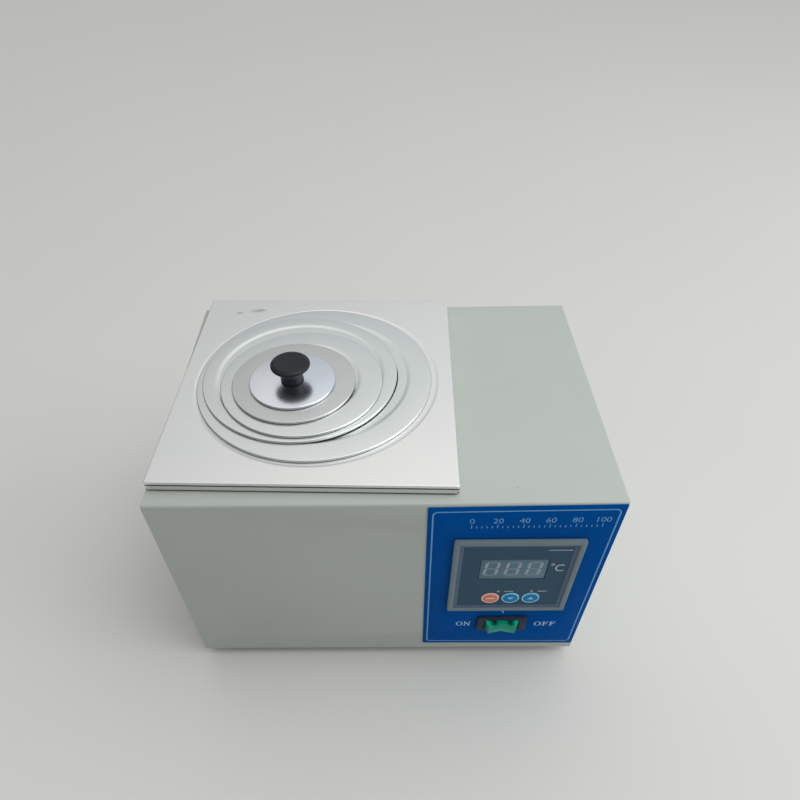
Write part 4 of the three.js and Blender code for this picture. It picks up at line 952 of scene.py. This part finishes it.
def make_label():
    label_way(dressed("panel_label", label_film, edge=0.08, steps=2).data)
    low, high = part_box("panel_label")
    left, right = low.x / MM + LINE_INSETS[0], high.x / MM - LINE_INSETS[1]
    foot, head = low.z / MM + LINE_INSETS[2], high.z / MM - LINE_INSETS[3]
    wide, tall = right - left, head - foot
    inner = (wide - 2 * LINE_WIDTH, tall - 2 * LINE_WIDTH, LINE_CORNER - LINE_WIDTH)
    line = flat_shape([rounded(wide, tall, LINE_CORNER, steps=24), rounded(*inner, steps=24)], PRINT)
    line = label_way(onto_front(line, (left + right) / 2 * MM, (foot + head) / 2 * MM, LABEL_FRONT))
    piece("label_line", tidy(line), print_blue, "panel_label", replaces=False)
    make_word("label_on", "ON", ON_PLACE, print_pale)
    make_word("label_off", "OFF", OFF_PLACE, print_pale)
    tick = flat_shape([[(-0.5, 0), (0.5, 0), (0.5, 1), (-0.5, 1)]], PRINT)
    tick = onto_front(tick, 0, 0, 0)
    places = []
    for i in range(SCALE_TICKS):
        tall = LONG_TICK if i % 5 == 0 else SHORT_TICK
        spot = ((SCALE_LEFT + i * SCALE_PITCH) * MM, LABEL_FRONT, SCALE_BASE * MM)
        places.append((spot, (TICK_WIDTH, 1.0, tall)))
    ticks = label_way(copied(tick, places, print_blue))
    piece("label_ticks", ticks, None, "panel_label", replaces=False)
    numbers = []
    for i in range(0, SCALE_TICKS, 5):
        mesh = make_text(str(4 * i), SCALE_NUMBER)
        wide = max(v.co.x for v in mesh.vertices) + min(v.co.x for v in mesh.vertices)
        x = SCALE_LEFT + i * SCALE_PITCH - wide / 2
        height = (SCALE_BASE + SCALE_NUMBER_RISE) * MM
        numbers.append(onto_front(coated(mesh, print_blue), x * MM, height, LABEL_FRONT))
    piece("label_numbers", tidy(label_way(joined(*numbers))), None, "panel_label", replaces=False)
    nick = flat_shape([[(-0.7, 2.0), (-0.1, 2.1), (-0.1, 0.2), (1.0, -1.6), (0.5, -2.0), (-0.6, -0.1)]], PRINT)
    x, z = NICK_PLACE
    nick = onto_front(nick, x * MM, z * MM, LABEL_FRONT)
    piece("label_nick", tidy(nick), print_pale, "panel_label", replaces=False)


# Controller

def closed_loft(sections):
    """A picture-frame shape. Each section is (width, height, corner, y) in millimetres."""
    rows = [[(x, y, z) for x, z in rounded(width, height, corner)] for width, height, corner, y in sections]
    return tidy(loft(rows + [rows[0]]), sharp=50.0)


def make_bezel():
    low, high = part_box("controller_bezel")
    wide, tall = (high.x - low.x) / MM, (high.z - low.z) / MM
    deep = (high.y - low.y) / MM
    open_wide, open_tall = wide - 2 * BEZEL_BORDER, tall - 2 * BEZEL_BORDER
    middle = centre("controller_bezel")
    back = FACE_FRONT / MM - high.y / MM - 0.04
    body = closed_loft([
        (wide, tall, 1.4, 0), (wide, tall, 1.4, 0.5 - deep), (wide - 0.25, tall - 0.25, 1.3, 0.15 - deep),
        (wide - 0.9, tall - 0.9, 1.1, -deep), (open_wide + 0.8, open_tall + 0.8, 0.9, -deep),
        (open_wide + 0.2, open_tall + 0.2, 0.7, 0.1 - deep), (open_wide, open_tall, 0.6, 0.35 - deep),
        (open_wide, open_tall, 0.6, back + 0.3), (open_wide + 3.6, open_tall + 3.6, 0.6, back + 0.5),
        (open_wide + 3.6, open_tall + 3.6, 0.6, 0)])
    body.transform(Matrix.Translation((middle.x, high.y, middle.z)))
    piece("controller_bezel_shown", body, bezel_plastic, "controller_bezel")
    reach = 2 * LIP_WIDTH
    slope = closed_loft([
        (open_wide - 0.1, open_tall - 0.1, 0.6, 0.55 - deep), (open_wide - 0.1, open_tall - 0.1, 0.6, back),
        (open_wide - reach, open_tall - reach, 0.4, back),
        (open_wide - reach, open_tall - reach, 0.4, back - 0.12),
        (open_wide - reach + 0.7, open_tall - reach + 0.7, 0.4, back - 0.16),
        (open_wide - 0.6, open_tall - 0.6, 0.5, 0.5 - deep)])
    slope.transform(Matrix.Translation((middle.x, high.y, middle.z)))
    piece("controller_lip", slope, lip_plastic, "controller_bezel", replaces=False)


def make_digits():
    """Three unlit leaning eights on the display."""
    y = WINDOW_FRONT
    low, high = BAR / 2, DIGIT_HIGH - BAR / 2
    level = flat_shape([[(-0.5, 0), (-0.36, 0.5), (0.36, 0.5), (0.5, 0), (0.36, -0.5), (-0.36, -0.5)]], PRINT)
    level = onto_front(level, 0, 0, 0)
    upright = flat_shape([[(0, -0.5), (0.5, -0.38), (0.5, 0.38), (0, 0.5), (-0.5, 0.38), (-0.5, -0.38)]], PRINT)
    upright = onto_front(upright, 0, 0, 0)
    span = (DIGIT_HIGH - BAR) / 2
    levels, uprights = [], []
    for start in DIGIT_STARTS:
        for k in range(3):
            spot = ((start + DIGIT_WIDE / 2) * MM, y, (DIGIT_BASE + low + k * span) * MM)
            levels.append((spot, (DIGIT_WIDE - BAR * 0.9, 1.0, BAR * 0.8)))
        for side in (low, DIGIT_WIDE - low):
            for k in (0.5, 1.5):
                spot = ((start + side) * MM, y, (DIGIT_BASE + low + k * span) * MM)
                uprights.append((spot, (BAR, 1.0, span * 0.94)))
    mesh = joined(copied(level, levels, digit_dim), copied(upright, uprights, digit_grey))
    for vertex in mesh.vertices:
        vertex.co.x += (vertex.co.z - DIGIT_BASE * MM) * DIGIT_LEAN
    piece("display_digits", tidy(mesh), None, "display_window", replaces=False)


def make_face():
    finished("controller_face", face_film)
    dressed("display_window", display_lens, edge=0.15, steps=2)
    make_digits()
    x, z = DEGREE_PLACE
    ring = flat_shape([circle(DEGREE_RADIUS, steps=24), circle(DEGREE_RADIUS * 0.55, steps=24)], PRINT)
    prints = [onto_front(ring, x * MM, z * MM, FACE_FRONT)]
    x, z, wide, tall = LETTER_C_PLACE
    letter = make_text("C", tall)
    side = [vertex.co.x for vertex in letter.vertices]
    letter.transform(Matrix.Translation((x, 0, 0)) @ Matrix.Diagonal((wide / (max(side) - min(side)), 1, 1, 1))
                     @ Matrix.Translation((-min(side), 0, 0)))
    prints.append(onto_front(letter, 0, z * MM, FACE_FRONT))
    bars = [RULE_PLACE]
    for node in ("indicator_output", "indicator_alarm"):
        lamp = centre(node)
        bars.append((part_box(node)[1].x / MM + CAPTION_GAP, lamp.z / MM - CAPTION_SIZE[1] / 2, *CAPTION_SIZE))
    for x, z, wide, tall in bars:
        bar = flat_shape([rounded(wide, tall, tall * 0.45, wide / 2, tall / 2)], PRINT)
        prints.append(onto_front(bar, x * MM, z * MM, FACE_FRONT))
    for mesh in prints:
        coated(mesh, print_grey)
    piece("face_prints", tidy(joined(*prints)), None, "controller_face", replaces=False)


def make_buttons():
    """Round caps with a pale rim, and an arrow on each blue one."""
    for node, cap, rim in (("button_set", button_red, red_rim), ("button_down", button_blue, button_rim),
                           ("button_up", button_blue, button_rim)):
        low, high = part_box(node)
        middle = centre(node)
        deep = (high.y - low.y) / MM
        outline = [(0, 0, 0), (3.8, 0.02, 0), (4.45, 0.14, 0.2), (4.65, 0.06, 0.15), (5.2, 0.06, 0.15),
                   (CAP_RADIUS, 0.3, 0.2), (CAP_RADIUS, 1.6, 0), (1.6, 1.7, 0), (1.6, deep, 0), (0, deep, 0)]
        mesh = turned(filleted(outline, 4), cap, steps=64, closed=True)
        mesh.materials.append(rim)
        last = len(mesh.materials) - 1
        for face in mesh.polygons:
            spot = face.center / MM
            if spot.xy.length > CAP_RIM and spot.z < CAP_FRONT:
                face.material_index = last
        mesh.transform(Matrix.Translation((middle.x, low.y, middle.z)) @ Matrix.Rotation(-QUARTER, 4, "X"))
        piece(node + "_shown", mesh, None, node)
    for node, up in (("button_down", -1), ("button_up", 1)):
        middle = centre(node)
        arrow = flat_shape([[(x, y * up) for x, y in ARROW][::up]], PRINT)
        onto_front(arrow, middle.x, middle.z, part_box(node)[0].y)
        piece(node + "_arrow", tidy(arrow), print_pale, node, replaces=False)
    middle = centre("button_set")
    bar = flat_shape([rounded(*SET_BAR)], PRINT)
    onto_front(bar, middle.x, middle.z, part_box("button_set")[0].y)
    piece("button_set_bar", tidy(bar), red_rim, "button_set", replaces=False)


def make_controller():
    make_bezel()
    make_face()
    make_buttons()
    finished("indicator_output", lamp_lens)
    finished("indicator_alarm", lamp_lens)
    dressed_each("display_module controller_housing terminal_block", black_plastic)
    dressed("circuit_board", board_lacquer, edge=0.15)
    dressed_each("clip_upper clip_lower", steel, edge=0.2)


# Rocker switch

# Painted light on the green rocker: lit ends, shaded pockets and a paler lit strip low on its front
ROCKER_LIT = tone(20, 205, 165)
ROCKER_PAINTED_SHADE = tone(0, 26, 24)
ROCKER_PAINTED_LIGHT = tone(60, 170, 140)


def make_switch():
    dressed("switch_frame", switch_plastic, edge=0.5)
    dressed("rocker", rocker_plastic, edge=0.6)
    low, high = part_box("rocker")
    middle = centre("rocker") / MM
    front = low.y / MM
    # Painted highlights at the rocker's left and right ends, painted shade in its pockets, and a painted band
    # of light low on its front
    for side in (-1, 1):
        corner = (middle.x + side * ROCKER_CORNER_ASIDE, front + 2, high.z / MM)
        spotted(rocker_plastic, corner, ROCKER_CORNER_REACH, ROCKER_LIT)
        pocket = (middle.x + side * ROCKER_POCKET_ASIDE, front + 3, high.z / MM - ROCKER_POCKET_DROP)
        spotted(rocker_plastic, pocket, ROCKER_POCKET_REACH, ROCKER_PAINTED_SHADE)
    spotted(rocker_plastic, (middle.x, front + 2, low.z / MM + 1), ROCKER_STRIP_REACH, ROCKER_PAINTED_LIGHT, 0.9)
    finished("rocker_pin", steel)
    dressed_each("switch_terminal_1 switch_terminal_2", brass, edge=0.1)


# Rear, tank and inside

def make_rear():
    dressed_each("inlet_body fuse_holder", black_plastic, edge=0.4)
    dressed_each("earth_stud inlet_pin_live inlet_pin_neutral inlet_pin_earth", brass, edge=0.3)


def make_inside():
    dressed("tank", steel, edge=0.25)
    dressed("shelf", steel, edge=0.2)
    finished("insulation", mineral_wool)
    finished("heater_tube", steel)
    finished("sensor_probe", steel)
    dressed_each("heater_nut_front heater_nut_rear sensor_nut", brass, edge=0.3)
    sleeves = (("heater_lead_front", red_sleeve), ("heater_lead_rear", blue_sleeve),
               ("sensor_lead", white_sleeve), ("mains_lead", red_sleeve), ("earth_lead", green_sleeve))
    for node, sleeve in sleeves:
        finished(node, sleeve)


# Stage, light and camera

FLOOR_SIZE = 8.0
FLOOR_COLOUR = tone(208, 208, 206)
SKY_LOW = 0.42
SKY_HIGH = 1.0
SKY_RISE = (0.42, 0.80)
# The sky's strength along an axis: it turns from one share to the other between two places
SKY_WAYS = (("X", -0.9, -0.4, 0.3, 1.0), ("X", -0.3, 0.9, 0.97, 1.55), ("Y", -0.7, 0.1, 0.55, 1.0))
SKY_LOW_COLOUR = (0.955, 1.0, 1.045, 1.0)
SKY_HIGH_COLOUR = (1.01, 1.0, 0.975, 1.0)


def make_stage():
    mesh = bpy.data.meshes.new("floor")
    half = FLOOR_SIZE / 2
    corners = [(-half, -half, 0), (half, -half, 0), (half, half, 0), (-half, half, 0)]
    mesh.from_pydata(corners, [], [(0, 1, 2, 3)])
    floor = bpy.data.objects.new("floor", mesh)
    bpy.context.scene.collection.objects.link(floor)
    floor.data.materials.append(finish(
        "floor_matt", FLOOR_COLOUR, tone(211, 211, 208), (0.8, 0.85), clouds=3.0, spread=0.4, grain=200.0))
    world = bpy.data.worlds.new("studio")
    world.use_nodes = True
    tree = world.node_tree
    ways = place(tree, "ShaderNodeSeparateXYZ", {0: place(tree, "ShaderNodeTexCoord").outputs["Generated"]})
    rise = place(tree, "ShaderNodeMapRange", {
        "Value": ways.outputs["Z"], "From Min": SKY_RISE[0], "From Max": SKY_RISE[1]})
    level = scaled(tree, rise.outputs["Result"], SKY_LOW, SKY_HIGH)
    for way, near, far, first, last in SKY_WAYS:
        change = place(tree, "ShaderNodeMapRange", {
            "Value": ways.outputs[way], "From Min": near, "From Max": far, "To Min": first, "To Max": last})
        level = worked(tree, "MULTIPLY", level, change.outputs["Result"])
    back = tree.nodes["Background"]
    tree.links.new(mixed(tree, rise.outputs["Result"], SKY_LOW_COLOUR, SKY_HIGH_COLOUR), back.inputs["Color"])
    tree.links.new(level, back.inputs["Strength"])
    bpy.context.scene.world = world
    bpy.context.scene.view_settings.view_transform = "Standard"


def make_lamp(name, spot, target, size, power, colour=(1, 1, 1)):
    light = bpy.data.lights.new(name, "AREA")
    light.shape = "RECTANGLE"
    light.size, light.size_y = size
    light.energy = power
    light.color = colour
    lamp = bpy.data.objects.new(name, light)
    bpy.context.scene.collection.objects.link(lamp)
    lamp.location = spot
    lamp.rotation_euler = (Vector(target) - Vector(spot)).to_track_quat("-Z", "Y").to_euler()


def make_lamps():
    make_lamp("overhead", (0.6, -0.3, 1.7), (0, 0, 0.1), (0.9, 0.9), 4.6)
    make_lamp("right_window", (1.5, -0.3, 0.85), (0, 0, 0.15), (1.3, 1.1), 9.0, (0.96, 0.99, 1.0))


def make_camera():
    """The camera, fitted to the photograph."""
    camera = bpy.data.cameras.new("camera")
    camera.sensor_fit = "HORIZONTAL"
    camera.sensor_width = 36.0
    camera.lens = CAMERA_LENS
    camera.shift_x, camera.shift_y = CAMERA_SHIFT
    camera.clip_start = 0.01
    view = bpy.data.objects.new("camera", camera)
    bpy.context.scene.collection.objects.link(view)
    view.location = CAMERA_PLACE
    view.rotation_euler = Euler([math.radians(turn) for turn in CAMERA_TURN], "XYZ")
    bpy.context.scene.camera = view


make_camera()
make_stage()
make_lamps()
make_case()
make_plate()
make_ring("ring_1", ring_metal)
make_ring("ring_2", ring_metal)
make_ring("ring_3", ring_metal)
make_ring("ring_4", dark_ring_metal)
make_centre_lid()
make_knob()
make_label()
make_controller()
make_switch()
make_rear()
make_inside()
